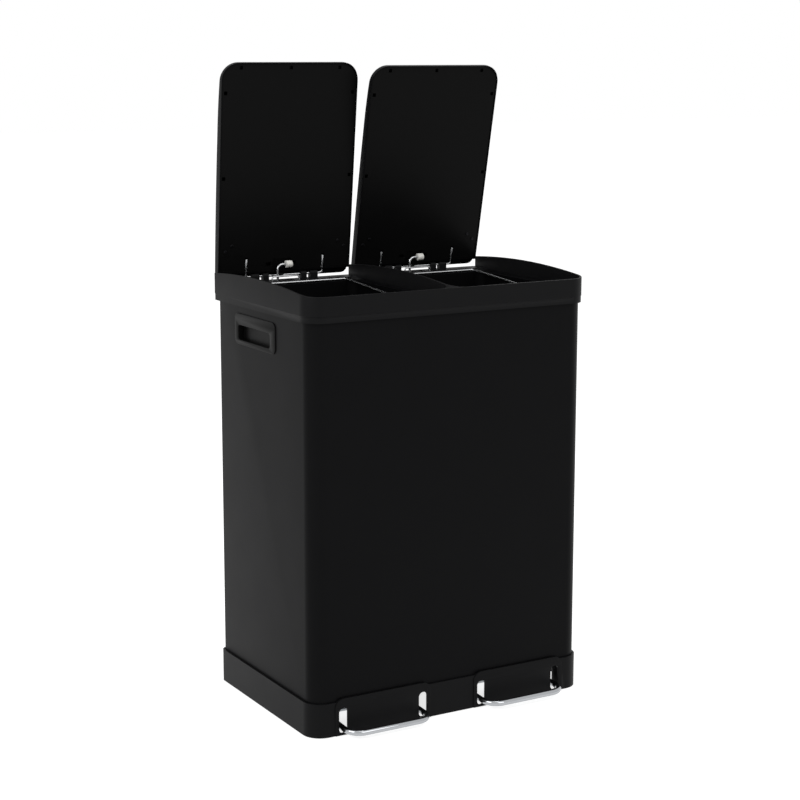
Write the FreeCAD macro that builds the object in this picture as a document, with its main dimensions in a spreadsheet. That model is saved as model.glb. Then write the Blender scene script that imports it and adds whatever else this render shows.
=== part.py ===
import FreeCAD, Part
import math
import os

import Sketcher
from FreeCAD import Placement, Rotation, Vector

# Double recycling bin: a steel body with two lift-out buckets, two lids on wire hinges and two
# bar pedals.  Millimetres; X to the right, Y to the back, Z up, floor at Z = 0.  The lids stand
# open and the pedals are down.  Every sub-part is drawn about the middle of the steel body, a lid
# closed about its hinge line and a pedal level about its pivot; its placement carries it there.

os.makedirs("parts", exist_ok=True)
doc = FreeCAD.newDocument("double_recycling_bin")
sheet = doc.addObject("Spreadsheet::Sheet", "Sizes")


class Size:
    """A length or angle that knows its number and the sheet expression that gives it."""

    def __init__(self, number, text=None):
        self.number = float(number)
        self.text = text if text is not None else repr(float(number))

    def join(self, sign, other, number):
        other = size(other)
        return Size(number(self.number, other.number), "(%s %s %s)" % (self.text, sign, other.text))

    def __add__(self, other):
        return self.join("+", other, lambda a, b: a + b)

    def __sub__(self, other):
        return self.join("-", other, lambda a, b: a - b)

    def __mul__(self, other):
        return self.join("*", other, lambda a, b: a * b)

    def __truediv__(self, other):
        return self.join("/", other, lambda a, b: a / b)

    def __neg__(self):
        return self * -1

    __radd__ = __add__
    __rmul__ = __mul__

    def __rsub__(self, other):
        return size(other) - self


def size(value):
    """A Size of value, which may be one already."""
    return value if isinstance(value, Size) else Size(value)


def sine(angle):
    """The sine of an angle in degrees."""
    return Size(math.sin(math.radians(angle.number)), "sin(%s * 1 deg)" % angle.text)


def cosine(angle):
    """The cosine of an angle in degrees."""
    return Size(math.cos(math.radians(angle.number)), "cos(%s * 1 deg)" % angle.text)


def steepness(rise, run):
    """The angle in degrees of a line that rises so much over a run."""
    degrees = math.degrees(math.atan(rise.number / run.number))
    return Size(degrees, "(atan(%s / %s) / 1 deg)" % (rise.text, run.text))


def driving(name, number):
    """Write one driving dimension into the sheet and return it."""
    driving.row += 1
    sheet.set("A%d" % driving.row, name)
    sheet.set("B%d" % driving.row, repr(number))
    sheet.setAlias("B%d" % driving.row, name)
    return Size(number, "Sizes." + name)


driving.row = 0

# --- steel body ---
body_setback = driving("body_setback", 10.3)
body_width = driving("body_width", 470.0)
body_depth = driving("body_depth", 305.0)
corner_front = driving("corner_front", 25.0)
corner_back = driving("corner_back", 8.0)
shell_wall = driving("shell_wall", 1.0)
shell_return = driving("shell_return", 25.0)
panel_margin = driving("panel_margin", 9.0)

# --- moulded base ---
base_height = driving("base_height", 52.0)
base_proud = driving("base_proud", 3.7)
base_wall = driving("base_wall", 3.0)
base_lift = driving("base_lift", 1.0)
deck_top = driving("deck_top", 47.0)
deck_thickness = driving("deck_thickness", 2.5)
bezel_width = driving("bezel_width", 163.0)
bezel_rise = driving("bezel_rise", 4.5)
bezel_proud = driving("bezel_proud", 1.2)
bezel_corner = driving("bezel_corner", 14.0)
bezel_clear = driving("bezel_clear", 0.6)
slot_width = driving("slot_width", 15.0)
slot_low = driving("slot_low", 3.5)
slot_high = driving("slot_high", 42.5)
foot_inset = driving("foot_inset", 24.0)
foot_radius = driving("foot_radius", 10.0)
foot_boss = driving("foot_boss", 12.5)
foot_pad = driving("foot_pad", 4.0)
foot_stem = driving("foot_stem", 3.0)
foot_stem_length = driving("foot_stem_length", 10.0)

# --- moulded top frame ---
rim_bottom = driving("rim_bottom", 609.5)
rim_step = driving("rim_step", 10.0)
rim_step_inset = driving("rim_step_inset", 0.6)
rim_front_top = driving("rim_front_top", 647.0)
rim_proud = driving("rim_proud", 4.8)
rim_wall = driving("rim_wall", 3.0)
rim_back_reach = driving("rim_back_reach", 8.8)
rim_back_corner = driving("rim_back_corner", 9.0)
wing_back_top = driving("wing_back_top", 650.0)
wing_front_reach = driving("wing_front_reach", 4.3)
crown_radius = driving("crown_radius", 1460.0)
crown_room = driving("crown_room", 12.0)
shelf_top = driving("shelf_top", 634.0)
shelf_thickness = driving("shelf_thickness", 3.0)
shelf_depth = driving("shelf_depth", 30.3)
throat_notch = driving("throat_notch", 5.0)
divider_wall = driving("divider_wall", 4.0)
mouth_back_corner = driving("mouth_back_corner", 18.0)
ledge_top = driving("ledge_top", 627.0)
ledge_thickness = driving("ledge_thickness", 3.0)
ledge_width = driving("ledge_width", 8.0)
back_rib_height = driving("back_rib_height", 10.0)

# --- lift-out buckets and their bails ---
bucket_gap = driving("bucket_gap", 1.5)
bucket_flange = driving("bucket_flange", 3.0)
bucket_flange_width = driving("bucket_flange_width", 10.0)
bucket_wall = driving("bucket_wall", 2.2)
bucket_bottom = driving("bucket_bottom", 62.0)
bucket_taper = driving("bucket_taper", 13.0)
bucket_floor = driving("bucket_floor", 3.0)
bucket_corner = driving("bucket_corner", 14.0)
bail_wire = driving("bail_wire", 1.6)
bail_drop = driving("bail_drop", 9.0)
bail_reach = driving("bail_reach", 137.0)
bail_lean = driving("bail_lean", 2.2)
bail_bend = driving("bail_bend", 4.0)
bail_gap = driving("bail_gap", 0.3)
bail_boss = driving("bail_boss", 6.0)
bail_boss_depth = driving("bail_boss_depth", 2.5)
bail_skin = driving("bail_skin", 0.9)
tuck_width = driving("tuck_width", 36.0)
tuck_depth = driving("tuck_depth", 10.0)
tuck_height = driving("tuck_height", 6.0)
tuck_drop = driving("tuck_drop", 24.0)
tuck_shift = driving("tuck_shift", 12.0)

# --- hinge line ---
running_fit = driving("running_fit", 0.1)
snug_fit = driving("snug_fit", 0.05)
hinge_height = driving("hinge_height", 641.0)
hinge_inset = driving("hinge_inset", 4.3)
hinge_wire = driving("hinge_wire", 1.6)
hinge_half = driving("hinge_half", 66.5)
hinge_bend = driving("hinge_bend", 4.0)
hinge_tail = driving("hinge_tail", 28.0)
knuckle_radius = driving("knuckle_radius", 4.3)
knuckle_outer = driving("knuckle_outer", 44.5)
knuckle_outer_width = driving("knuckle_outer_width", 13.0)
knuckle_inner = driving("knuckle_inner", 28.0)
knuckle_inner_width = driving("knuckle_inner_width", 10.0)

# --- lids, drawn closed about the hinge line ---
lid_half_back = driving("lid_half_back", 114.6)
lid_half_front = driving("lid_half_front", 116.3)
lid_tail = driving("lid_tail", 4.0)
lid_length = driving("lid_length", 329.0)
lid_corner = driving("lid_corner", 28.0)
lid_chamfer_wide = driving("lid_chamfer_wide", 14.0)
lid_chamfer_deep = driving("lid_chamfer_deep", 8.0)
lid_back_height = driving("lid_back_height", 10.0)
lid_shoulder = driving("lid_shoulder", 240.0)
lid_shoulder_height = driving("lid_shoulder_height", 20.7)
lid_nose_height = driving("lid_nose_height", 16.8)
lid_crown_radius = driving("lid_crown_radius", 4664.0)
lid_nose_radius = driving("lid_nose_radius", 730.0)
skirt_start = driving("skirt_start", 6.0)
skirt_back_height = driving("skirt_back_height", -2.0)
skirt_crease = driving("skirt_crease", 312.0)
skirt_crease_height = driving("skirt_crease_height", 10.5)
skirt_nose_height = driving("skirt_nose_height", 8.6)
hinge_relief = driving("hinge_relief", 5.8)
cover_wall = driving("cover_wall", 2.0)
liner_wall = driving("liner_wall", 2.0)
liner_inset = driving("liner_inset", 1.0)
liner_start = driving("liner_start", 8.0)
liner_fit = driving("liner_fit", 0.2)
lug_left = driving("lug_left", -12.0)
lug_width = driving("lug_width", 9.0)
lug_radius = driving("lug_radius", 4.0)
lug_arm_height = driving("lug_arm_height", 1.5)
cam_left = driving("cam_left", -21.0)
cam_right = driving("cam_right", 10.5)
cam_end = driving("cam_end", 26.5)
cam_height = driving("cam_height", 3.6)
tail_slot = driving("tail_slot", 5.0)
recess_inner = driving("recess_inner", 74.0)
recess_outer = driving("recess_outer", 111.0)
recess_start = driving("recess_start", 11.0)
recess_end = driving("recess_end", 34.0)
recess_depth = driving("recess_depth", 0.6)
clip_slot = driving("clip_slot", 5.5)
clip_front = driving("clip_front", 321.0)
clip_spacing = driving("clip_spacing", 84.0)
clip_side = driving("clip_side", 108.5)
clip_near = driving("clip_near", 154.0)
clip_far = driving("clip_far", 283.0)
lid_screw_outer = driving("lid_screw_outer", 103.0)
lid_screw_outer_at = driving("lid_screw_outer_at", 41.0)
lid_screw_inner = driving("lid_screw_inner", 92.0)
lid_screw_inner_at = driving("lid_screw_inner_at", 50.0)
lid_screw_head = driving("lid_screw_head", 2.6)
lid_screw_head_height = driving("lid_screw_head_height", 1.2)
lid_screw_shank = driving("lid_screw_shank", 1.3)
lid_screw_length = driving("lid_screw_length", 8.0)
lid_boss = driving("lid_boss", 3.5)
lid_open_left = driving("lid_open_left", 82.3)
lid_open_right = driving("lid_open_right", 76.2)

# --- lift rods: they rise rod_rate millimetres for every radian that a lid opens ---
rod_rate = driving("rod_rate", 17.0)
rod_radius = driving("rod_radius", 2.0)
rod_side = driving("rod_side", 16.0)
rod_ahead = driving("rod_ahead", 10.0)
rod_closed_drop = driving("rod_closed_drop", 7.0)
rod_bend = driving("rod_bend", 8.0)
rod_gap = driving("rod_gap", 0.5)
rod_play = driving("rod_play", 0.3)
cap_side = driving("cap_side", 3.5)
cap_radius = driving("cap_radius", 5.5)
cap_length = driving("cap_length", 11.0)
cap_end = driving("cap_end", 1.5)
window_play = driving("window_play", 1.5)
guide_ahead = driving("guide_ahead", 18.5)
guide_left = driving("guide_left", 30.0)
guide_right = driving("guide_right", 17.0)
guide_bend = driving("guide_bend", 4.0)
guide_wire = driving("guide_wire", 1.25)
guide_root = driving("guide_root", 6.0)
guide_clear = driving("guide_clear", 1.5)
rod_clip_half = driving("rod_clip_half", 6.0)
rod_clip_depth = driving("rod_clip_depth", 8.5)
rod_clip_height = driving("rod_clip_height", 325.0)
rod_clip_tall = driving("rod_clip_tall", 10.0)

# --- pedals ---
pivot_ahead = driving("pivot_ahead", 40.0)
pivot_height = driving("pivot_height", 21.5)
pivot_radius = driving("pivot_radius", 3.0)
pivot_head = driving("pivot_head", 4.5)
pivot_head_width = driving("pivot_head_width", 2.0)
leg_spacing = driving("leg_spacing", 135.4)
pedal_bar = driving("pedal_bar", 4.5)
pedal_bend = driving("pedal_bend", 22.0)
pedal_reach = driving("pedal_reach", 144.0)
pedal_leg_end = driving("pedal_leg_end", 25.0)
lever_swing = driving("lever_swing", 4.1)
lever_drop = driving("lever_drop", 3.5)
lever_wall = driving("lever_wall", 3.0)
lever_half = driving("lever_half", 47.0)
lever_cross_front = driving("lever_cross_front", 56.0)
lever_cross_back = driving("lever_cross_back", 24.0)
lever_web_back = driving("lever_web_back", 18.0)
lever_flange_front = driving("lever_flange_front", 50.0)
lever_flange_rise = driving("lever_flange_rise", 5.5)
tongue_half = driving("tongue_half", 9.0)
tongue_over = driving("tongue_over", 4.0)
clamp_half = driving("clamp_half", 8.0)
clamp_tall = driving("clamp_tall", 5.8)
bracket_gap = driving("bracket_gap", 0.5)
bracket_wall = driving("bracket_wall", 2.0)
bracket_half = driving("bracket_half", 13.0)
bracket_drop = driving("bracket_drop", 7.0)

# --- hand-holds in the sides ---
hold_back = driving("hold_back", 23.0)
hold_height = driving("hold_height", 574.5)
hold_length = driving("hold_length", 135.4)
hold_tall = driving("hold_tall", 47.0)
hold_corner = driving("hold_corner", 10.0)
hold_proud = driving("hold_proud", 1.6)
hold_mouth_length = driving("hold_mouth_length", 106.5)
hold_mouth_tall = driving("hold_mouth_tall", 22.7)
hold_mouth_corner = driving("hold_mouth_corner", 5.0)
hold_mouth_drop = driving("hold_mouth_drop", 5.2)
hold_mouth_back = driving("hold_mouth_back", 2.6)
hold_depth = driving("hold_depth", 9.0)
hold_wall = driving("hold_wall", 1.5)
hold_fit = driving("hold_fit", 0.5)

# --- screws at the back ---
screw_radius = driving("screw_radius", 1.5)
screw_head = driving("screw_head", 2.4)
screw_head_height = driving("screw_head_height", 1.6)
screw_length = driving("screw_length", 12.0)
screw_side = driving("screw_side", 222.0)
frame_screw_rise = driving("frame_screw_rise", 5.0)

doc.recompute()

# Places that several pieces share
body_half = body_width / 2
body_half_depth = body_depth / 2
base_half = body_half + base_proud
base_half_depth = body_half_depth + base_proud
foot_across = base_half - foot_inset
foot_along = base_half_depth - foot_inset
deck_low = deck_top - deck_thickness
rim_half = body_half + rim_proud
rim_front = -(body_half_depth + rim_proud)
rim_back = body_half_depth + rim_back_reach
mouth_side = rim_half - rim_wall
mouth_front = rim_front + rim_wall
mouth_back = rim_back - shelf_depth
mouth_front_corner = corner_front + rim_proud - rim_wall
throat_back = mouth_back + rim_wall
shell_top = ledge_top - ledge_thickness
bin_center = (mouth_side + divider_wall / 2) / 2
mouth_half = (mouth_side - divider_wall / 2) / 2
hinge_back = rim_back - hinge_inset
rod_back = hinge_back - rod_ahead
guide_back = hinge_back - guide_ahead
bucket_half = mouth_half - bucket_gap
bucket_front = mouth_front + bucket_gap
bucket_back = mouth_back - bucket_gap
bucket_top = ledge_top + bucket_flange
bucket_middle = (bucket_front + bucket_back) / 2
bucket_wall_out = bucket_half - bucket_flange_width
bail_height = bucket_top - bail_drop
bail_socket = bucket_wall_out - bail_skin
lever_reach = rod_back + pivot_ahead
rod_foot = pivot_height - lever_drop + rod_gap - lever_reach * sine(lever_swing) / cosine(lever_swing)
rod_top = hinge_height - rod_closed_drop
frame_screw_height = rim_bottom + frame_screw_rise
base_screw_height = (deck_top + base_height) / 2
hands = (("left", -1, lid_open_left), ("right", 1, lid_open_right))
parts = []


# --- drawing helpers ---
def place(thing, x, y, z, turn, axis):
    """Tie a piece's placement to the sheet: a move, and a turn about axis in degrees."""
    start = Rotation() if turn is None else Rotation(axis, 1.0)
    thing.Placement = Placement(Vector(0, 0, 0), start)
    for letter, value in zip("xyz", (size(x), size(y) + body_setback, size(z))):
        thing.setExpression("Placement.Base." + letter, value.text)
    if turn is not None:
        thing.setExpression("Placement.Rotation.Angle", turn.text)


def new_body(name, x=0, y=0, z=0, turn=None, axis=Vector(1, 0, 0)):
    """A sub-part called name, which may hold several separate solids."""
    body = doc.addObject("PartDesign::Body", name)
    body.Label = name
    body.AllowCompound = True
    place(body, x, y, z, turn, axis)
    parts.append(body)
    return body


def new_sketch(body, plane, level=0):
    """A sketch on the body's XY, XZ or YZ plane, moved to a level along Z, Y or X."""
    sketch = body.newObject("Sketcher::SketchObject", "Sketch")
    support = [f for f in body.Origin.OriginFeatures if f.Role == plane + "_Plane"][0]
    sketch.AttachmentSupport = [(support, "")]
    sketch.MapMode = "FlatFace"
    along = -size(level) if plane == "XZ" else size(level)
    sketch.setExpression("AttachmentOffset.Base.z", along.text)
    return sketch


def hold(sketch, rules):
    """Add constraints that are tied to the sheet: (kind, geometry, end, value), or plain ones."""
    made = [
        Sketcher.Constraint(*rule[:-1], rule[-1].number) if isinstance(rule[-1], Size)
        else Sketcher.Constraint(*rule)
        for rule in rules
    ]
    first = sketch.ConstraintCount
    sketch.addConstraint(made)
    for index, rule in enumerate(rules):
        if isinstance(rule[-1], Size):
            sketch.setExpression("Constraints[%d]" % (first + index), rule[-1].text)


def at_point(geometry, end, u, v):
    """The two rules that hold one end of an edge at (u, v)."""
    return [("DistanceX", geometry, end, size(u)), ("DistanceY", geometry, end, size(v))]


def arc_between(start, end, radius, clockwise):
    """The shorter arc of a circle from start to end."""
    half = (end - start) / 2
    rise = math.sqrt(max(radius * radius - half.Length ** 2, 0.0))
    across = Vector(-half.y, half.x, 0) / half.Length
    center = (start + end) / 2 + across * (-rise if clockwise else rise)
    first = math.atan2(start.y - center.y, start.x - center.x)
    last = math.atan2(end.y - center.y, end.x - center.x)
    if clockwise:
        first, last = last, first
    return Part.ArcOfCircle(Part.Circle(center, Vector(0, 0, 1), radius), first, last)


def trace(sketch, stops, closed=True):
    """Draw a path through stops (u, v) or (u, v, radius): a radius bends the edge that leaves the
    stop into an arc, which turns anticlockwise when it is positive and clockwise when negative."""
    count = len(stops) if closed else len(stops) - 1
    edges = []
    ends = []
    rules = []
    for index in range(count):
        here, there = stops[index], stops[(index + 1) % len(stops)]
        start = Vector(size(here[0]).number, size(here[1]).number, 0)
        end = Vector(size(there[0]).number, size(there[1]).number, 0)
        geometry = sketch.GeometryCount + index
        ends.append((geometry, 1, 2))
        if len(here) == 2:
            edges.append(Part.LineSegment(start, end))
            continue
        radius = size(here[2])
        clockwise = radius.number < 0
        edges.append(arc_between(start, end, abs(radius.number), clockwise))
        rules.append(("Radius", geometry, -radius if clockwise else radius))
        if clockwise:
            ends[-1] = (geometry, 2, 1)
    for index, (geometry, first, last) in enumerate(ends):
        rules += at_point(geometry, first, *stops[index][:2])
        if closed or index + 1 < count:
            after = ends[(index + 1) % count]
            rules.append(("Coincident", geometry, last, after[0], after[1]))
        else:
            rules += at_point(geometry, last, *stops[-1][:2])
    sketch.addGeometry(edges, False)
    hold(sketch, rules)


def rectangle(sketch, left, right, low, high):
    """Draw a plain rectangle."""
    trace(sketch, [(left, low), (right, low), (right, high), (left, high)])


def rounded(sketch, left, right, low, high, low_corner, high_corner):
    """Draw a rectangle whose two low and two high corners are rounded."""
    left, right, low, high = size(left), size(right), size(low), size(high)
    trace(sketch, [
        (left + low_corner, low),
        (right - low_corner, low, low_corner),
        (right, low + low_corner),
        (right, high - high_corner, high_corner),
        (right - high_corner, high),
        (left + high_corner, high, high_corner),
        (left, high - high_corner),
        (left, low + low_corner, low_corner),
    ])


def circles(sketch, spots, radius):
    """Draw a circle of the same radius on each spot."""
    for u, v in spots:
        middle = Vector(size(u).number, size(v).number, 0)
        geometry = sketch.addGeometry(Part.Circle(middle, Vector(0, 0, 1), size(radius).number), False)
        hold(sketch, at_point(geometry, 3, u, v) + [("Radius", geometry, size(radius))])


def run_out(body, sketch, length, cut):
    """Add or cut a sketch's outline for a length towards +Z, +Y or +X of its plane."""
    feature = body.newObject("PartDesign::Pocket" if cut else "PartDesign::Pad", "Cut" if cut else "Pad")
    feature.Profile = sketch
    faces_front = sketch.AttachmentSupport[0][0].Role == "XZ_Plane"
    feature.Reversed = cut != faces_front
    feature.setExpression("Length", size(length).text)
    body.Tip = feature


def add(body, plane, low, high, draw, *outline):
    """Add an outline between two levels along the plane's normal."""
    sketch = new_sketch(body, plane, low)
    draw(sketch, *outline)
    run_out(body, sketch, size(high) - low, False)


def cut(body, plane, low, high, draw, *outline):
    """Cut an outline between two levels along the plane's normal."""
    sketch = new_sketch(body, plane, low)
    draw(sketch, *outline)
    run_out(body, sketch, size(high) - low, True)


def bend_wire(body, path_plane, path_level, path, start_plane, start_level, start, radius):
    """Carry a round section along a path of lines and arcs."""
    spine = new_sketch(body, path_plane, path_level)
    trace(spine, path, False)
    section = new_sketch(body, start_plane, start_level)
    circles(section, [start], radius)
    wire = body.newObject("PartDesign::AdditivePipe", "Wire")
    wire.Profile = section
    wire.Spine = spine
    body.Tip = wire


# --- steel body ---
def back_screw_spots():
    """Where the screws at the back go in, as (across, height)."""
    return [(screw_side * side, height) for side in (-1, 1)
            for height in (frame_screw_height, base_screw_height)]


def make_body_shell():
    """Painted steel wrap: front and sides in one sheet, with two returns at the back."""
    body = new_body("body_shell")
    wide, deep = body_half - shell_wall, body_half_depth - shell_wall
    add(body, "XY", deck_top, shell_top, rounded,
        -body_half, body_half, -body_half_depth, body_half_depth, corner_front, corner_back)
    cut(body, "XY", deck_top - 1, shell_top + 1, rounded,
        -wide, wide, -deep, deep, corner_front - shell_wall, corner_back - shell_wall)
    window = body_half - shell_return
    cut(body, "XY", deck_top - 1, shell_top + 1, rectangle,
        -window, window, deep - 1, body_half_depth + 1)
    middle, height = hold_back + hold_mouth_back, hold_height - hold_mouth_drop
    room = hold_wall + hold_fit
    long, tall = hold_mouth_length / 2 + room, hold_mouth_tall / 2 + room
    cut(body, "YZ", -body_half - 1, body_half + 1, rounded,
        middle - long, middle + long, height - tall, height + tall,
        hold_mouth_corner + room, hold_mouth_corner + room)
    cut(body, "XZ", deep - 1, body_half_depth + 1, circles, back_screw_spots(), screw_radius + running_fit)


def make_back_panel():
    """Flat steel sheet that closes the back, lapped inside the two returns."""
    body = new_body("back_panel")
    half = body_half - panel_margin
    back = body_half_depth - shell_wall
    add(body, "XZ", back - shell_wall, back, rectangle, -half, half, deck_top, shell_top)
    cut(body, "XZ", back - shell_wall - 1, back + 1, circles, back_screw_spots(), screw_radius + running_fit)


def make_rod_clips():
    """Two guide blocks on the back panel that keep the lift rods straight."""
    body = new_body("rod_clips")
    back = body_half_depth - shell_wall * 2
    low, high = rod_clip_height, rod_clip_height + rod_clip_tall
    for _, side, _ in hands:
        middle = bin_center * side - rod_side
        add(body, "XY", low, high, rounded, middle - rod_clip_half, middle + rod_clip_half,
            back - rod_clip_depth, back, rod_clip_half / 2, size(0.5))
    for _, side, _ in hands:
        cut(body, "XY", low - 1, high + 1, circles,
            [(bin_center * side - rod_side, rod_back)], rod_radius + rod_play)


# --- moulded base ---
def foot_spots():
    """The middle of each foot."""
    return [(foot_across * side, foot_along * end) for side in (-1, 1) for end in (-1, 1)]


def make_base_skirt():
    """Moulded base: a skirt, a deck that carries the body, two pedal bezels and their slots."""
    body = new_body("base_skirt")
    wide, deep = base_half - base_wall, base_half_depth - base_wall
    outer, outer_back = corner_front + base_proud, corner_back + base_proud
    add(body, "XY", base_lift, base_height, rounded,
        -base_half, base_half, -base_half_depth, base_half_depth, outer, outer_back)
    for low, high in ((deck_top, base_height + 1), (base_lift - 1, deck_low)):
        cut(body, "XY", low, high, rounded,
            -wide, wide, -deep, deep, outer - base_wall, outer_back - base_wall)
    bezel_front = -(base_half_depth + bezel_proud)
    bezel_back = -(body_half_depth + bezel_clear)
    for _, side, _ in hands:
        middle = bin_center * side
        add(body, "XZ", bezel_front, bezel_back, rounded,
            middle - bezel_width / 2, middle + bezel_width / 2,
            base_lift, base_height + bezel_rise, size(1), bezel_corner)
        for leg in (-1, 1):
            across = middle + leg_spacing / 2 * leg
            cut(body, "XZ", bezel_front - 1, bezel_back + base_wall, rounded,
                across - slot_width / 2, across + slot_width / 2, slot_low, slot_high,
                slot_width * 0.49, slot_width * 0.49)
        cut(body, "XY", deck_low - 1, deck_top + 1, circles,
            [(middle - rod_side, rod_back)], rod_radius + rod_play)
    add(body, "XY", foot_pad, deck_low + deck_thickness / 2, circles, foot_spots(), foot_boss)
    cut(body, "XY", foot_pad - 1, foot_pad + foot_stem_length + 1, circles, foot_spots(),
        foot_stem + running_fit)
    spots = [(screw_side * side, base_screw_height) for side in (-1, 1)]
    cut(body, "XZ", deep - 1, base_half_depth + 1, circles, spots, screw_radius + running_fit)


def make_base_feet():
    """Four rubber feet, each a disc with a stem that plugs into the base."""
    body = new_body("base_feet")
    add(body, "XY", 0, foot_pad, circles, foot_spots(), foot_radius)
    add(body, "XY", foot_pad - 1, foot_pad + foot_stem_length, circles, foot_spots(), foot_stem)


# --- moulded top frame ---
def mouth(sketch, middle, inset):
    """Draw one bucket mouth, drawn in by inset."""
    half = mouth_half - inset
    rounded(sketch, middle - half, middle + half, mouth_front + inset, mouth_back - inset,
            mouth_front_corner - inset, mouth_back_corner - inset)


def make_top_frame():
    """Moulded frame: crowned side walls and divider, bucket ledge, hinge shelf and knuckles."""
    body = new_body("top_frame")
    block_top = wing_back_top + crown_room
    outer = corner_front + rim_proud
    add(body, "XY", rim_bottom, block_top, rounded,
        -rim_half, rim_half, rim_front, rim_back, outer, rim_back_corner)
    for _, side, _ in hands:
        cut(body, "XY", ledge_top, block_top + 1, mouth, bin_center * side, size(0))
        cut(body, "XY", rim_bottom - 1, block_top + 1, mouth, bin_center * side, ledge_width)
    cut(body, "XY", rim_bottom - 1, shell_top, rounded,
        -mouth_side, mouth_side, mouth_front, mouth_back, mouth_front_corner, size(1))
    cut(body, "XY", rim_bottom - 1, shelf_top - shelf_thickness, rounded,
        -mouth_side, mouth_side, throat_back, rim_back - rim_wall, size(1), rim_back_corner - rim_wall)
    for side in (-1, 1):
        inner, out = (mouth_side - throat_notch) * side, mouth_side * side
        cut(body, "XY", rim_bottom - 1, shell_top, rectangle,
            inner if side > 0 else out, out if side > 0 else inner, mouth_back - 2, throat_back + 2)
    crown_front = mouth_front + wing_front_reach
    cut(body, "YZ", -rim_half - 1, rim_half + 1, trace, [
        (rim_front - 1, rim_front_top),
        (crown_front, rim_front_top, -crown_radius),
        (rim_back, wing_back_top),
        (rim_back + 1, wing_back_top),
        (rim_back + 1, block_top + 1),
        (rim_front - 1, block_top + 1),
    ])
    for _, side, _ in hands:
        middle = bin_center * side
        cut(body, "XY", shelf_top, block_top + 1, rectangle, middle - mouth_half, middle + mouth_half,
            mouth_back - mouth_back_corner, rim_back + 1)
    cut_rim_step(body, outer)
    for _, side, _ in hands:
        add_knuckles(body, bin_center * side)
        cut_rod_window(body, bin_center * side)
    rib_half = body_half - corner_back
    add(body, "XY", rim_bottom, rim_bottom + back_rib_height, rectangle,
        -rib_half, rib_half, body_half_depth, rim_back - rim_wall / 2)
    spots = [(screw_side * side, frame_screw_height) for side in (-1, 1)]
    cut(body, "XZ", body_half_depth - 1, rim_back + 1, circles, spots, screw_radius + running_fit)


def cut_rim_step(body, outer):
    """Set the lower edge of the rim in a little, below a fine step line."""
    sketch = new_sketch(body, "XY", rim_bottom - 1)
    inset = rim_step_inset
    rectangle(sketch, -rim_half - 1, rim_half + 1, rim_front - 1, rim_back + 1)
    rounded(sketch, inset - rim_half, rim_half - inset, rim_front + inset, rim_back - inset,
            outer - inset, rim_back_corner - inset)
    run_out(body, sketch, rim_step + 1, True)


def add_knuckles(body, middle):
    """Two pairs of round-topped hinge knuckles with a bore for the hinge wire."""
    starts = (
        (-knuckle_outer - knuckle_outer_width, knuckle_outer_width),
        (-knuckle_inner - knuckle_inner_width, knuckle_inner_width),
        (knuckle_inner, knuckle_inner_width),
        (knuckle_outer, knuckle_outer_width),
    )
    root = shelf_top - shelf_thickness / 2
    for start, width in starts:
        left = middle + start
        add(body, "YZ", left, left + width, circles, [(hinge_back, hinge_height)], knuckle_radius)
        add(body, "YZ", left, left + width, rectangle,
            hinge_back - knuckle_radius, hinge_back + knuckle_radius, root, hinge_height)
    reach = knuckle_outer + knuckle_outer_width + 1
    cut(body, "YZ", middle - reach, middle + reach, circles,
        [(hinge_back, hinge_height)], hinge_wire + running_fit)


def cut_rod_window(body, middle):
    """The window that the lift rod comes up through, and two sockets for its guide wire."""
    low, high = shelf_top - shelf_thickness - 1, shelf_top + 1
    reach = cap_radius + window_play / 2
    cut(body, "XY", low, high, rectangle,
        middle - rod_side - rod_radius - window_play, middle + cap_side + cap_length / 2 + window_play,
        rod_back - reach, rod_back + reach)
    spots = [(middle - guide_left, guide_back), (middle + guide_right, guide_back)]
    cut(body, "XY", low, high, circles, spots, guide_wire + snug_fit)


def make_guide_wires():
    """Wire staples on the hinge shelf that steer the lift rods."""
    for name, side, _ in hands:
        body = new_body("guide_wire_" + name, x=bin_center * side)
        root = shelf_top - guide_root
        bend_wire(body, "XZ", guide_back, [
            (-guide_left, root),
            (-guide_left, hinge_height - guide_bend, -guide_bend),
            (guide_bend - guide_left, hinge_height),
            (guide_right - guide_bend, hinge_height, -guide_bend),
            (guide_right, hinge_height - guide_bend),
            (guide_right, root),
        ], "XY", root, (-guide_left, guide_back), guide_wire)


# --- hand-holds ---
def make_hand_holds():
    """Moulded finger pockets pushed into the sides of the body."""
    for name, side, _ in hands:
        body = new_body("hand_hold_" + name, x=body_half * side, y=hold_back, z=hold_height,
                        turn=size(180) if side < 0 else None, axis=Vector(0, 0, 1))
        add(body, "YZ", 0, hold_proud, rounded,
            -hold_length / 2, hold_length / 2, -hold_tall / 2, hold_tall / 2, hold_corner, hold_corner)
        shift = hold_mouth_back * side
        for wall, start, end, work in (
            (hold_wall, -hold_depth, hold_proud / 2, add),
            (size(0), hold_wall - hold_depth, hold_proud + 1, cut),
        ):
            long, tall = hold_mouth_length / 2 + wall, hold_mouth_tall / 2 + wall
            work(body, "YZ", start, end, rounded, shift - long, shift + long,
                 -hold_mouth_drop - tall, tall - hold_mouth_drop,
                 hold_mouth_corner + wall, hold_mouth_corner + wall)


# --- buckets and bails ---
def bucket_wall_outline(sketch, inset):
    """Draw the outline of a bucket's wall, inset inside its rim's outer edge."""
    half = bucket_half - inset
    rounded(sketch, -half, half, bucket_front + inset, bucket_back - inset, bucket_corner, bucket_corner)


def loft_wall(body, kind, low, low_inset, high, high_inset):
    """Add or cut a straight-sided loft between two wall outlines."""
    sketches = []
    for level, inset in ((low, low_inset), (high, high_inset)):
        sketch = new_sketch(body, "XY", level)
        bucket_wall_outline(sketch, inset)
        sketches.append(sketch)
    loft = body.newObject("PartDesign::" + kind, "Wall")
    loft.Profile = sketches[0]
    loft.Sections = [sketches[1]]
    loft.Ruled = True
    body.Tip = loft


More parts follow.
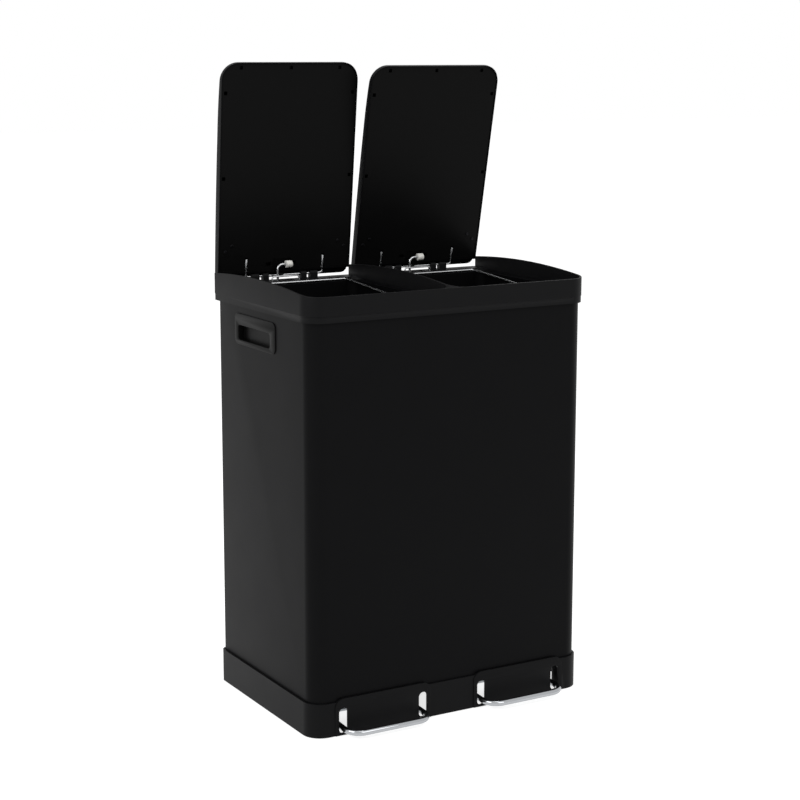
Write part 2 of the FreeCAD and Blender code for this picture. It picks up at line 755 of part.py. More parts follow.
def make_buckets():
    """Lift-out buckets: tapered walls, a flat rim, bail bosses and a bag ledge at the back."""
    for name, side, _ in hands:
        body = new_body("bucket_" + name, x=bin_center * side)
        top, low = bucket_flange_width, bucket_flange_width + bucket_taper
        loft_wall(body, "AdditiveLoft", bucket_bottom, low, bucket_top, top)
        add(body, "XY", ledge_top, bucket_top, rounded,
            -bucket_half, bucket_half, bucket_front, bucket_back,
            mouth_front_corner - bucket_gap, mouth_back_corner - bucket_gap)
        loft_wall(body, "SubtractiveLoft", bucket_bottom + bucket_floor, low + bucket_wall,
                  bucket_top, top + bucket_wall)
        inner = bucket_wall_out - bucket_wall - bail_boss_depth
        outer = bucket_wall_out - bucket_wall / 2
        spot = [(bucket_middle, bail_height)]
        for start, end in ((-outer, -inner), (inner, outer)):
            add(body, "YZ", start, end, circles, spot, bail_boss)
        for start, end in ((-bail_socket, 1 - inner), (inner - 1, bail_socket)):
            cut(body, "YZ", start, end, circles, spot, bail_wire + running_fit)
        wall = bucket_back - bucket_flange_width - bucket_wall / 2 - bucket_taper / 20
        high = bucket_top - tuck_drop
        add(body, "XY", high - tuck_height, high, rectangle,
            tuck_shift - tuck_width / 2, tuck_shift + tuck_width / 2, wall - tuck_depth, wall)


def make_bails():
    """Steel bails, folded back onto the rear rim of the buckets."""
    hook = bail_socket - bail_gap
    foot = bucket_wall_out - bucket_wall - bail_boss_depth - bail_gap
    lean, along = sine(bail_lean), cosine(bail_lean)
    leg = (bail_reach - bail_bend * 2 + bail_bend * lean * 2) / along
    bar = foot - bail_bend * along * 2 - leg * lean
    low_side, low_rise = foot - bail_bend * along, bail_bend - bail_bend * lean
    high_side, high_rise = bar + bail_bend * along, bail_reach - bail_bend + bail_bend * lean
    rest = bucket_back - bucket_flange_width - bucket_wall - bucket_middle
    fold = steepness(bucket_top + bail_wire + bail_gap - bail_height, rest)
    for name, side, _ in hands:
        body = new_body("bail_" + name, x=bin_center * side, y=bucket_middle, z=bail_height, turn=fold)
        bend_wire(body, "XY", 0, [
            (-hook, 0),
            (-foot, 0, bail_bend),
            (-low_side, low_rise),
            (-high_side, high_rise, -bail_bend),
            (-bar, bail_reach),
            (bar, bail_reach, -bail_bend),
            (high_side, high_rise),
            (low_side, low_rise, bail_bend),
            (foot, 0),
            (hook, 0),
        ], "YZ", -hook, (0, 0), bail_wire)


# --- lids ---
def lid_body(name, side, opened):
    """A sub-part that rides on a lid and stands open at rest."""
    return new_body(name, x=bin_center * side, y=hinge_back, z=hinge_height, turn=-opened)


def lid_outline(sketch, inset):
    """Draw a lid's plan: it widens a little to the front, where its corners are round."""
    back, front = lid_half_back - inset, lid_half_front - inset
    tail, nose, corner = lid_tail - inset, inset - lid_length, lid_corner - inset
    trace(sketch, [
        (lid_chamfer_wide - back, tail),
        (-back, tail - lid_chamfer_deep),
        (-front, nose + corner, corner),
        (corner - front, nose),
        (front - corner, nose, corner),
        (front, nose + corner),
        (back, tail - lid_chamfer_deep),
        (back - lid_chamfer_wide, tail),
    ])


def trim_to_plan(body, inset, low, high):
    """Cut away all that lies outside a lid's plan."""
    sketch = new_sketch(body, "XY", low)
    wide = lid_half_front + 5
    rectangle(sketch, -wide, wide, -lid_length - 5, lid_tail + 5)
    lid_outline(sketch, inset)
    run_out(body, sketch, size(high) - low, True)


def skirt_height(reach, rise):
    """Height of a line that lies rise above a lid's lower edge, at a reach from the hinge."""
    slope = (skirt_crease_height - skirt_back_height) / (skirt_crease - skirt_start)
    return skirt_back_height + (size(reach) - skirt_start) * slope + rise


def screw_spots():
    """The screws between a lid's cover and liner, as (across, reach from the hinge)."""
    return [(across * hand, reach) for hand in (-1, 1)
            for across, reach in ((lid_screw_outer, lid_screw_outer_at), (lid_screw_inner, lid_screw_inner_at))]


def make_lid_covers():
    """The lids' outer shells: a crowned top, a skirt all round and bosses for the liner's screws."""
    low, high = skirt_back_height - 2, lid_shoulder_height + 3
    top, drop = lid_back_height, lid_shoulder_height
    for name, side, opened in hands:
        body = lid_body("lid_cover_" + name, side, opened)
        ring = new_sketch(body, "XY", low)
        lid_outline(ring, size(0))
        lid_outline(ring, cover_wall)
        run_out(body, ring, high - low, False)
        add(body, "YZ", -lid_half_front, lid_half_front, trace, [
            (lid_tail, top, lid_crown_radius),
            (-lid_shoulder, drop, lid_nose_radius),
            (-lid_length, lid_nose_height),
            (-lid_length, lid_nose_height - cover_wall, -lid_nose_radius),
            (-lid_shoulder, drop - cover_wall, -lid_crown_radius),
            (lid_tail, top - cover_wall),
        ])
        trim_to_plan(body, size(0), low - 1, high + 1)
        cut(body, "YZ", -lid_half_front - 1, lid_half_front + 1, trace, [
            (lid_tail + 1, top),
            (lid_tail, top, lid_crown_radius),
            (-lid_shoulder, drop, lid_nose_radius),
            (-lid_length, lid_nose_height),
            (-lid_length - 1, lid_nose_height),
            (-lid_length - 1, high + 1),
            (lid_tail + 1, high + 1),
        ])
        cut(body, "YZ", -lid_half_front - 1, lid_half_front + 1, trace, [
            (lid_tail + 1, hinge_relief),
            (-skirt_start, hinge_relief),
            (-skirt_start, skirt_back_height),
            (-skirt_crease, skirt_crease_height),
            (-lid_length - 1, skirt_nose_height),
            (-lid_length - 1, low - 1),
            (lid_tail + 1, low - 1),
        ])
        add_liner_bosses(body)


def add_liner_bosses(body):
    """Bosses under a lid's top that reach down to the liner, each with a screw hole."""
    slope = (lid_shoulder_height - lid_back_height) / (lid_shoulder + lid_tail)
    for across, reach in screw_spots():
        top = lid_back_height + (reach + lid_tail) * slope
        add(body, "XY", 0, top, circles, [(across, -reach)], lid_boss)
    rise = liner_inset + liner_wall
    start, end = lid_screw_outer_at - lid_boss * 2, lid_screw_inner_at + lid_boss * 2
    half = lid_screw_outer + lid_boss + 1
    cut(body, "YZ", -half, half, trace, [
        (-start, skirt_height(start, rise)),
        (-end, skirt_height(end, rise)),
        (-end, size(-1)),
        (-start, size(-1)),
    ])
    spots = [(across, -reach) for across, reach in screw_spots()]
    cut(body, "XY", 0, lid_screw_length + 1, circles, spots, lid_screw_shank + running_fit)


def make_lid_liners():
    """The lids' inner panels, with a recess over the lift rod and a lug round the hinge wire."""
    nose = lid_length - cover_wall - liner_fit
    fit = cover_wall + liner_fit
    for name, side, opened in hands:
        body = lid_body("lid_liner_" + name, side, opened)
        rise = liner_inset + liner_wall
        add(body, "YZ", -lid_half_front, lid_half_front, trace, [
            (-liner_start, skirt_height(liner_start, liner_inset)),
            (-nose, skirt_height(nose, liner_inset)),
            (-nose, skirt_height(nose, rise)),
            (-liner_start, skirt_height(liner_start, rise)),
        ])
        add(body, "XY", 0, lid_back_height - cover_wall - liner_fit, rectangle,
            -lid_half_back, lid_half_back, -liner_start - liner_wall, -liner_start)
        trim_to_plan(body, fit, skirt_back_height - 2, lid_shoulder_height + 2)
        shape_cam_recess(body)
        cut_liner_openings(body)


def shape_cam_recess(body):
    """The recess that the lift rod's cap works in, and the lug that the hinge wire runs through."""
    ceiling = cam_height + liner_wall
    add(body, "XY", 0, ceiling, rectangle, cam_left - liner_wall, cam_right + liner_wall,
        -cam_end - liner_wall, -liner_start)
    cut(body, "XY", skirt_back_height - 2, cam_height, rectangle,
        cam_left, cam_right, -cam_end, 1 - liner_start)
    lug_right = lug_left + lug_width
    add(body, "YZ", lug_left, lug_right, circles, [(0, 0)], lug_radius)
    add(body, "YZ", lug_left, lug_right, rectangle, -liner_start - 1, size(0), lug_arm_height, ceiling)
    cut(body, "YZ", lug_left - 1, lug_right + 1, circles, [(0, 0)], hinge_wire + running_fit)


def cut_liner_openings(body):
    """Slots for the hinge wire's ends and the guide wire, corner recesses, clip and screw holes."""
    low = skirt_back_height - 2
    through = skirt_height(lid_length, liner_wall * 3)
    for hand in (-1, 1):
        across = hinge_half * hand
        cut(body, "XY", low, hinge_wire + 1, rectangle, across - tail_slot / 2, across + tail_slot / 2,
            -hinge_tail - tail_slot / 2, 1 - liner_start)
        left, right = sorted((recess_inner * hand, recess_outer * hand), key=lambda edge: edge.number)
        cut(body, "YZ", left, right, trace, [
            (-recess_start, skirt_height(recess_start, liner_inset + recess_depth)),
            (-recess_start, low),
            (-recess_end, low),
            (-recess_end, skirt_height(recess_end, liner_inset + recess_depth)),
        ])
    reach = guide_wire + guide_clear
    cut(body, "XY", low, reach, rectangle, -guide_left - reach, guide_right + reach,
        -guide_ahead - reach, reach - guide_ahead)
    slots = [(clip_spacing * step, clip_front) for step in (-1, 0, 1)]
    slots += [(clip_side * hand, at) for hand in (-1, 1) for at in (clip_near, clip_far)]
    for across, at in slots:
        cut(body, "XY", low, through, rectangle, across - clip_slot / 2, across + clip_slot / 2,
            -at - clip_slot / 2, clip_slot / 2 - at)
    spots = [(across, -reach) for across, reach in screw_spots()]
    cut(body, "XY", low, through, circles, spots, lid_screw_shank + running_fit)


def make_hinge_wires():
    """Hinge wires: straight through the knuckles, with both ends bent forward into the liner."""
    for name, side, opened in hands:
        body = lid_body("hinge_wire_" + name, side, opened)
        bend_wire(body, "XY", 0, [
            (-hinge_half, -hinge_tail),
            (-hinge_half, -hinge_bend, -hinge_bend),
            (hinge_bend - hinge_half, 0),
            (hinge_half - hinge_bend, 0, -hinge_bend),
            (hinge_half, -hinge_bend),
            (hinge_half, -hinge_tail),
        ], "XZ", -hinge_tail, (-hinge_half, 0), hinge_wire)


def make_lid_screws():
    """Small screws, four to a lid, up through the liner into the cover's bosses."""
    for name, side, opened in hands:
        body = lid_body("lid_screws_" + name, side, opened)
        for across, reach in screw_spots():
            seat = skirt_height(reach - lid_screw_head, liner_inset)
            spot = [(across, -reach)]
            add(body, "XY", seat - lid_screw_head_height, seat, circles, spot, lid_screw_head)
            add(body, "XY", seat - lid_screw_head_height / 2, lid_screw_length, circles, spot,
                lid_screw_shank)


# --- lift rods ---
def rod_rise(opened):
    """How far a lift rod stands above its lowest place when its lid is open."""
    return rod_rate * opened * (math.pi / 180)


def make_lift_rods():
    """Wire rods from the pedal levers up to the lids, each with a nylon cap on its bent end."""
    inner, outer = cap_side - cap_length / 2, cap_side + cap_length / 2
    for name, side, opened in hands:
        rod = new_body("lift_rod_" + name, x=bin_center * side, z=rod_rise(opened))
        bend_wire(rod, "XZ", rod_back, [
            (-rod_side, rod_foot),
            (-rod_side, rod_top - rod_bend, -rod_bend),
            (rod_bend - rod_side, rod_top),
            (outer - cap_end - snug_fit, rod_top),
        ], "XY", rod_foot, (-rod_side, rod_back), rod_radius)
        cap = new_body("rod_cap_" + name, x=bin_center * side, z=rod_rise(opened))
        add(cap, "YZ", inner, outer, circles, [(rod_back, rod_top)], cap_radius)
        cut(cap, "YZ", inner - 1, outer - cap_end, circles, [(rod_back, rod_top)], rod_radius + snug_fit)


# --- pedals ---
def pedal_place(side, opened):
    """Where a pedal's parts go: about the pivot, with the front pushed down as its lid is open."""
    turn = opened * rod_rate / lever_reach - lever_swing
    return {"x": bin_center * side, "y": -pivot_ahead, "z": pivot_height, "turn": turn}


def make_pedals():
    """Chrome pedal bars, bent to a U."""
    leg = leg_spacing / 2
    for name, side, opened in hands:
        body = new_body("pedal_" + name, **pedal_place(side, opened))
        bend_wire(body, "XY", -lever_drop, [
            (-leg, -pedal_leg_end),
            (-leg, pedal_bend - pedal_reach, pedal_bend),
            (pedal_bend - leg, -pedal_reach),
            (leg - pedal_bend, -pedal_reach, pedal_bend),
            (leg, pedal_bend - pedal_reach),
            (leg, -pedal_leg_end),
        ], "XZ", -pedal_leg_end, (-leg, -lever_drop), pedal_bar)


def make_pedal_levers():
    """Steel levers under the deck: clamps for the pedal's legs, pivot flanges and a lifting tongue."""
    leg = leg_spacing / 2
    top, low = -lever_drop, -lever_drop - lever_wall
    for name, side, opened in hands:
        body = new_body("pedal_lever_" + name, **pedal_place(side, opened))
        add(body, "XY", low, top, rectangle, -leg - clamp_half, leg + clamp_half,
            -lever_cross_front, -lever_cross_back)
        add(body, "XY", low, top, rectangle, -lever_half, lever_half,
            -lever_cross_back - 1, lever_web_back)
        add(body, "XY", low, top, rectangle, -rod_side - tongue_half, tongue_half - rod_side,
            lever_web_back - 1, lever_reach + tongue_over)
        for start, end in ((-lever_half, lever_wall - lever_half), (lever_half - lever_wall, lever_half)):
            add(body, "YZ", start, end, rectangle,
                -lever_flange_front, lever_web_back, low, lever_flange_rise)
        for hand in (-1, 1):
            start = leg * hand - clamp_half
            add(body, "YZ", start, start + clamp_half * 2, rectangle,
                -lever_cross_front, -lever_cross_back, top - clamp_tall, top + clamp_tall)
        spots = [(leg * hand, -lever_drop) for hand in (-1, 1)]
        cut(body, "XZ", -lever_cross_front - 1, 1 - lever_cross_back, circles, spots, pedal_bar + snug_fit)
        cut(body, "YZ", -lever_half - 1, lever_half + 1, circles, [(0, 0)], pivot_radius + running_fit)


def make_pivots():
    """Brackets under the deck and the pins that the pedal levers turn on."""
    inner = lever_half + bracket_gap
    outer = inner + bracket_wall
    high = deck_low - pivot_height
    for name, side, _ in hands:
        spot = {"x": bin_center * side, "y": -pivot_ahead, "z": pivot_height}
        bracket = new_body("pivot_bracket_" + name, **spot)
        add(bracket, "XY", high - bracket_wall, high, rectangle, -outer, outer, -bracket_half, bracket_half)
        for start, end in ((-outer, -inner), (inner, outer)):
            add(bracket, "YZ", start, end, rectangle, -bracket_half, bracket_half, -bracket_drop, high)
        cut(bracket, "YZ", -outer - 1, outer + 1, circles, [(0, 0)], pivot_radius + snug_fit)
        pin = new_body("pivot_pin_" + name, **spot)
        add(pin, "YZ", -outer - pivot_head_width / 2, outer + pivot_head_width, circles,
            [(0, 0)], pivot_radius)
        add(pin, "YZ", -outer - pivot_head_width, -outer, circles, [(0, 0)], pivot_head)


# --- screws at the back ---
def make_back_screws():
    """Screws that hold the top frame and the base to the steel body."""
    for name, height, face in (
        ("frame_screws", frame_screw_height, rim_back - rim_step_inset),
        ("base_screws", base_screw_height, base_half_depth),
    ):
        body = new_body(name)
        spots = [(screw_side * side, height) for side in (-1, 1)]
        add(body, "XZ", face - screw_length, face + screw_head_height / 2, circles, spots, screw_radius)
        add(body, "XZ", face, face + screw_head_height, circles, spots, screw_head)


make_body_shell()
make_back_panel()
make_rod_clips()
make_base_skirt()
make_base_feet()
make_top_frame()
make_guide_wires()
make_hand_holds()
make_buckets()
make_bails()
make_lid_covers()
make_lid_liners()
make_hinge_wires()
make_lid_screws()
make_lift_rods()
make_pedals()
make_pedal_levers()
make_pivots()
make_back_screws()
doc.recompute()

for thing in doc.Objects:
    if "Invalid" in thing.State or "Error" in thing.State:
        raise RuntimeError("%s could not be made: %s" % (thing.Label, thing.State))
for part in parts:
    if part.Shape.isNull() or not part.Shape.isValid() or not part.Shape.Solids:
        raise RuntimeError("%s has no sound solid" % part.Label)
    part.Shape.exportStep("parts/%s.step" % part.Label)
    box = part.Shape.BoundBox
    print("%-20s solids %d  volume %9.0f  x %7.1f %7.1f  y %7.1f %7.1f  z %6.1f %6.1f" % (
        part.Label, len(part.Shape.Solids), part.Shape.Volume,
        box.XMin, box.XMax, box.YMin, box.YMax, box.ZMin, box.ZMax))
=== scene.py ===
"""Dresses the double pedal recycling bin: rounded mouldings, bent wires, painted steel and studio light."""
import logging
import math
from collections.abc import Callable, Iterator
from contextlib import contextmanager
from dataclasses import dataclass, field
from enum import Enum

import bmesh
import bpy
from mathutils import Matrix, Vector


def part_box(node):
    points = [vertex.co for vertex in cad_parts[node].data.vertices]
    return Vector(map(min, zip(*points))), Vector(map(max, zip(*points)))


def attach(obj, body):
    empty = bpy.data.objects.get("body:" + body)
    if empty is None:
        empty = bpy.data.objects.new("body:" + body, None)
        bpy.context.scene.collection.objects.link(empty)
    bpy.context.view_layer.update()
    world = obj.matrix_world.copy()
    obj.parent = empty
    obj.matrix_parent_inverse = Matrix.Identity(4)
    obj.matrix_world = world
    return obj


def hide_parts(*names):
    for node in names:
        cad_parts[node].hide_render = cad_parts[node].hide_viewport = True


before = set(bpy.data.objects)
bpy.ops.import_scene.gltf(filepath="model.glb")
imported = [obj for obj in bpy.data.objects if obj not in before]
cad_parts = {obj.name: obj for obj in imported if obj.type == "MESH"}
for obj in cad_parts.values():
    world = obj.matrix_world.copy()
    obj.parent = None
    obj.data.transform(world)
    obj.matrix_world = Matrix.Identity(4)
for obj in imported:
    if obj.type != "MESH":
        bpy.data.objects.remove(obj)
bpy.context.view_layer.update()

log = logging.getLogger("recycling_bin")

MM = 0.001
SETBACK = 10.3 * MM          # the steel body stands this far behind the middle of the whole bin
MERGE = 0.005 * MM           # points closer than this are one point
NEAR = 0.02 * MM             # slack when a face or an edge is looked for by its place
FACING = 0.9                 # a face whose normal has this much of an axis faces along it
CORNER = math.radians(60)    # an edge that turns by more than this is a real corner
COLOUR_SOCKETS = (6, 7)      # the two colour inputs of a mix node


class Pick(Enum):
    """What an edit-mode selection is made of: Blender's select mode and the bmesh table."""

    VERTS = ("VERT", "verts")
    EDGES = ("EDGE", "edges")
    FACES = ("FACE", "faces")


class Hand(Enum):
    """The two bins, as seen from the front."""

    LEFT = "left"
    RIGHT = "right"

    @property
    def sign(self) -> int:
        """-1 on the left and 1 on the right."""
        return -1 if self is Hand.LEFT else 1


# --- bench work: the few moves that every piece is made with ---
def deselect() -> None:
    """Leave edit mode and let go of everything."""
    if bpy.context.mode != "OBJECT":
        bpy.ops.object.mode_set(mode="OBJECT")
    bpy.ops.object.select_all(action="DESELECT")


def take(piece: bpy.types.Object) -> None:
    """Select one piece alone and make it the active one."""
    deselect()
    piece.select_set(True)
    bpy.context.view_layer.objects.active = piece


def freeze(piece: bpy.types.Object) -> None:
    """Put the piece's place, turn and scale into its mesh."""
    take(piece)
    bpy.ops.object.transform_apply(location=True, rotation=True, scale=True)


def blank(name: str, kind: str, dims: tuple[float, float, float] | None = None,
          **settings: object) -> bpy.types.Object:
    """Add a primitive to start a piece from.

    Args:
        name: The piece's name.
        kind: Which primitive, as Blender's operator names it.
        dims: Width, depth and height that a unit primitive is brought to.
        settings: The operator's own settings, such as location.

    Returns:
        The new object, with its place in its mesh.
    """
    deselect()
    getattr(bpy.ops.mesh, f"primitive_{kind}_add")(**settings)
    piece = bpy.context.active_object
    piece.name = piece.data.name = name
    if dims is not None:
        piece.scale = dims
    freeze(piece)
    return piece


def block(name: str, low: Vector, high: Vector) -> bpy.types.Object:
    """Add a cube that fills the box between two corners."""
    return blank(name, "cube", dims=tuple(high - low), size=1.0, location=(low + high) / 2)


@contextmanager
def editing(piece: bpy.types.Object) -> Iterator[None]:
    """Edit mode on one piece alone, with all of it selected at first.

    Args:
        piece: The piece that is edited.

    Returns:
        A context that leaves edit mode at its end.
    """
    take(piece)
    bpy.ops.object.mode_set(mode="EDIT")
    bpy.ops.mesh.select_mode(type="VERT")
    bpy.ops.mesh.select_all(action="SELECT")
    yield
    bpy.ops.object.mode_set(mode="OBJECT")


def choose(kind: Pick, wanted: Callable[[object], bool]) -> int:
    """Select what passes a test, in edit mode, and nothing else.

    Args:
        kind: Points, edges or faces.
        wanted: The test that each of them is put to.

    Returns:
        How many were selected.
    """
    mode, table = kind.value
    bpy.ops.mesh.select_mode(type=mode)
    bpy.ops.mesh.select_all(action="DESELECT")
    mesh = bmesh.from_edit_mesh(bpy.context.edit_object.data)
    found = [item for item in getattr(mesh, table) if wanted(item)]
    for item in found:
        item.select_set(True)
    mesh.select_flush_mode()
    bmesh.update_edit_mesh(bpy.context.edit_object.data)
    return len(found)


def middle(edge: bmesh.types.BMEdge) -> Vector:
    """The middle of an edge."""
    return (edge.verts[0].co + edge.verts[1].co) / 2


def runs_along(edge: bmesh.types.BMEdge, axis: int) -> bool:
    """Whether an edge lies along one axis."""
    way = edge.verts[1].co - edge.verts[0].co
    return abs(way[axis]) > 0.999 * way.length


def bevel(width: float, segments: int, affect: str = "EDGES", clamp: bool = False) -> None:
    """Round what is selected by a width, in edit mode."""
    bpy.ops.mesh.bevel(offset_type="OFFSET", offset=width, segments=segments, profile=0.5,
                       affect=affect, clamp_overlap=clamp)


def extrude(way: Vector | tuple[float, float, float]) -> None:
    """Pull what is selected out by a vector, in edit mode."""
    bpy.ops.mesh.extrude_region_move(TRANSFORM_OT_translate={"value": tuple(way)})


def close_up() -> None:
    """Merge doubles, close holes and turn every face outwards, in edit mode."""
    bpy.ops.mesh.select_mode(type="VERT")
    bpy.ops.mesh.select_all(action="SELECT")
    bpy.ops.mesh.remove_doubles(threshold=MERGE)
    bpy.ops.mesh.fill_holes(sides=0)
    bpy.ops.mesh.select_all(action="SELECT")
    bpy.ops.mesh.normals_make_consistent(inside=False)


def modify(piece: bpy.types.Object, kind: str, **settings: object) -> None:
    """Add a modifier with its settings and apply it.

    Args:
        piece: The piece that it works on.
        kind: Blender's name of the modifier.
        settings: The modifier's own settings.
    """
    take(piece)
    modifier = piece.modifiers.new(kind.title(), kind)
    for name, value in settings.items():
        setattr(modifier, name, value)
    bpy.ops.object.modifier_apply(modifier=modifier.name)


def carve(piece: bpy.types.Object, tool: bpy.types.Object, operation: str = "DIFFERENCE") -> None:
    """Cut a tool's shape out of a piece, or weld it on, and throw the tool away."""
    modify(piece, "BOOLEAN", object=tool, operation=operation, solver="EXACT")
    bpy.data.objects.remove(tool)


def smooth(piece: bpy.types.Object, degrees: float = 32.0) -> None:
    """Shade round stretches smooth and keep the corners crisp."""
    take(piece)
    bpy.ops.object.shade_smooth_by_angle(angle=math.radians(degrees))


def mate(piece: bpy.types.Object, name: str, by: Matrix) -> bpy.types.Object:
    """Copy a piece with a mesh of its own.

    Args:
        piece: What is copied.
        name: The copy's name.
        by: Where the copy goes, from where the piece is.

    Returns:
        The copy, with its place in its mesh.
    """
    take(piece)
    bpy.ops.object.duplicate(linked=False)
    copy = bpy.context.active_object
    copy.name = copy.data.name = name
    copy.matrix_world = by @ copy.matrix_world
    freeze(copy)
    return copy


def join(name: str, pieces: list[bpy.types.Object]) -> bpy.types.Object:
    """Make one object of several and name it.

    Args:
        name: The new object's name.
        pieces: What goes into it.

    Returns:
        The joined object.
    """
    take(pieces[0])
    for piece in pieces[1:]:
        piece.select_set(True)
    bpy.ops.object.join()
    whole = bpy.context.active_object
    whole.name = whole.data.name = name
    return whole


def rounded_block(name: str, low: Vector, high: Vector, axis: int, corner: float) -> bpy.types.Object:
    """A block with four rounded corners.

    Args:
        name: The piece's name.
        low: Its lowest corner.
        high: Its highest corner.
        axis: The axis that the rounded corners run along.
        corner: Radius of the corners.

    Returns:
        The new object.
    """
    piece = block(name, low, high)
    with editing(piece):
        choose(Pick.EDGES, lambda e: runs_along(e, axis))
        bevel(corner, 8)
        close_up()
    return piece


# --- finishes ---
def linear(code: str) -> tuple[float, float, float, float]:
    """Turn an sRGB hex colour into linear red, green, blue and alpha.

    Args:
        code: The colour, such as "#1a2b3c".

    Returns:
        Four numbers from 0 to 1.
    """
    parts = [int(code[i:i + 2], 16) / 255 for i in (1, 3, 5)]
    return (*(c / 12.92 if c <= 0.04045 else ((c + 0.055) / 1.055) ** 2.4 for c in parts), 1.0)


def add_node(tree: bpy.types.NodeTree, kind: str, links: dict[str | int, bpy.types.NodeSocket] | None = None,
             **settings: object) -> bpy.types.Node:
    """Add a node with its settings and the links into it.

    Args:
        tree: The node tree.
        kind: Blender's name of the node, without "ShaderNode".
        links: Which output feeds each input.
        settings: Properties of the node, or else values of the inputs of that name, with _ for a space.

    Returns:
        The new node.
    """
    node = tree.nodes.new("ShaderNode" + kind)
    for name, value in settings.items():
        if hasattr(node, name):
            setattr(node, name, value)
        else:
            node.inputs[name.replace("_", " ")].default_value = value
    for name, source in (links or {}).items():
        tree.links.new(source, node.inputs[name])
    return node


@dataclass(frozen=True)
class Finish:
    """A material's name, its two close shades and its gloss."""

    name: str
    slot: str
    shade: str
    light_shade: str
    roughness: float
    roughness_spread: float
    grain_mm: float
    grain_depth_mm: float
    metallic: float = 0.0
    specular: float = 0.5
    stretch: tuple[float, float, float] = (1.0, 1.0, 1.0)
    mottle_mm: float = 60.0

    def make(self) -> bpy.types.Material:
        """Build the material: a mottled colour, uneven gloss and a fine surface grain.

        Returns:
            The material, on Object coordinates.
        """
        material = bpy.data.materials.new(self.name)
        material.use_nodes = True
        tree = material.node_tree
        tree.nodes.clear()
        place = add_node(tree, "TexCoord")
        turned = add_node(tree, "Mapping", {"Vector": place.outputs["Object"]}, Scale=self.stretch)
        mottle = add_node(tree, "TexNoise", {"Vector": turned.outputs[0]},
                          Scale=1 / (self.mottle_mm * MM), Detail=3.0, Roughness=0.6)
        grain = add_node(tree, "TexNoise", {"Vector": turned.outputs[0]},
                         Scale=1 / (self.grain_mm * MM), Detail=2.0, Roughness=0.55)
        shade = add_node(tree, "Mix", {"Factor": mottle.outputs["Fac"]}, data_type="RGBA")
        for socket, code in zip(COLOUR_SOCKETS, (self.shade, self.light_shade)):
            shade.inputs[socket].default_value = linear(code)
        gloss = add_node(tree, "MapRange", {"Value": mottle.outputs["Fac"]},
                         To_Min=self.roughness - self.roughness_spread,
                         To_Max=self.roughness + self.roughness_spread)
        relief = add_node(tree, "Bump", {"Height": grain.outputs["Fac"]},
                          Strength=0.5, Distance=self.grain_depth_mm * MM)
        body = add_node(tree, "BsdfPrincipled", {
            "Base Color": shade.outputs[2], "Roughness": gloss.outputs[0], "Normal": relief.outputs[0],
        }, Metallic=self.metallic)
        body.inputs["Specular IOR Level"].default_value = self.specular
        add_node(tree, "OutputMaterial", {"Surface": body.outputs[0]})
        return material


# Sheet steel, dry-sprayed and baked: an even black with a soft sheen and a fine orange peel.
POWDER_COAT = Finish("powder_coated_steel", "painted_steel", "#0c0c0d", "#0f0f10", 0.42, 0.04, 1.6, 0.02,
                     specular=0.045)
# Polypropylene from an eroded mould: black, matt, with a fine even grain that breaks up reflections.
MOULDED_RIM = Finish("spark_eroded_polypropylene", "black_moulding", "#0e0e0f", "#121213", 0.46, 0.05, 0.9,
                     0.03, specular=0.075)
# Polypropylene from a smoother mould: the same black with a little more sheen at its edges.
SATIN_RIM = Finish("satin_polypropylene", "satin_moulding", "#090909", "#0c0c0c", 0.38, 0.05, 1.2, 0.02,
                   specular=0.05)
# ABS lid, vapour-honed mould: a soft satin that shows long pale reflections on its edges.
LID_SHELL = Finish("honed_abs", "lid_moulding", "#080809", "#0b0b0c", 0.36, 0.04, 1.1, 0.015, specular=0.035)
# Bucket polypropylene, plain mould: dull black that swallows light inside.
BUCKET = Finish("plain_moulded_polypropylene", "bucket_moulding", "#060607", "#080809", 0.52, 0.05, 1.4, 0.03,
                specular=0.03)
# Moulded rubber: flat and dark, no sheen.
RUBBER = Finish("moulded_rubber", "foot_rubber", "#141414", "#1c1c1c", 0.8, 0.05, 1.0, 0.05, specular=0.3)
# Steel tube, polished and chromium plated: a clear mirror with faint wipe marks.
CHROME = Finish("chromium_plated_steel", "pedal_chrome", "#a3a5a8", "#b0b2b5", 0.07, 0.02, 2.5, 0.002,
                metallic=1.0)
# Drawn wire, left bright: a mirror whose colour and gloss vary in small patches; the lines that run along the
# real wire are not drawn.
DRAWN_WIRE = Finish("bright_drawn_wire", "bright_wire", "#adaeb0", "#c2c3c4", 0.24, 0.06, 0.5, 0.004,
                    metallic=1.0, mottle_mm=12.0)
# Pressed steel in bright zinc: a grey metal, cloudy from the plating bath.
ZINC = Finish("zinc_plated_steel", "plated_steel", "#a3a7ab", "#b6b9bc", 0.34, 0.08, 0.8, 0.008,
              metallic=1.0, mottle_mm=9.0)
# Small steel screws, plated and passivated black: a dark metal that shows only where it catches the light.
BLACK_ZINC = Finish("black_zinc_plated_steel", "plated_steel", "#1b1b1d", "#242426", 0.4, 0.06, 0.6, 0.008,
                    metallic=1.0, mottle_mm=5.0)
# Moulded nylon: a warm white with a slight wax sheen.
NYLON = Finish("moulded_nylon", "white_nylon", "#e4e3dd", "#eeede8", 0.4, 0.04, 1.2, 0.015)

# What each slot looks like, and the one look that only some pieces of a slot have.
SLOT_FINISHES = (POWDER_COAT, MOULDED_RIM, SATIN_RIM, LID_SHELL, BUCKET, RUBBER, CHROME, DRAWN_WIRE, ZINC, NYLON)
FINISHES = (*SLOT_FINISHES, BLACK_ZINC)


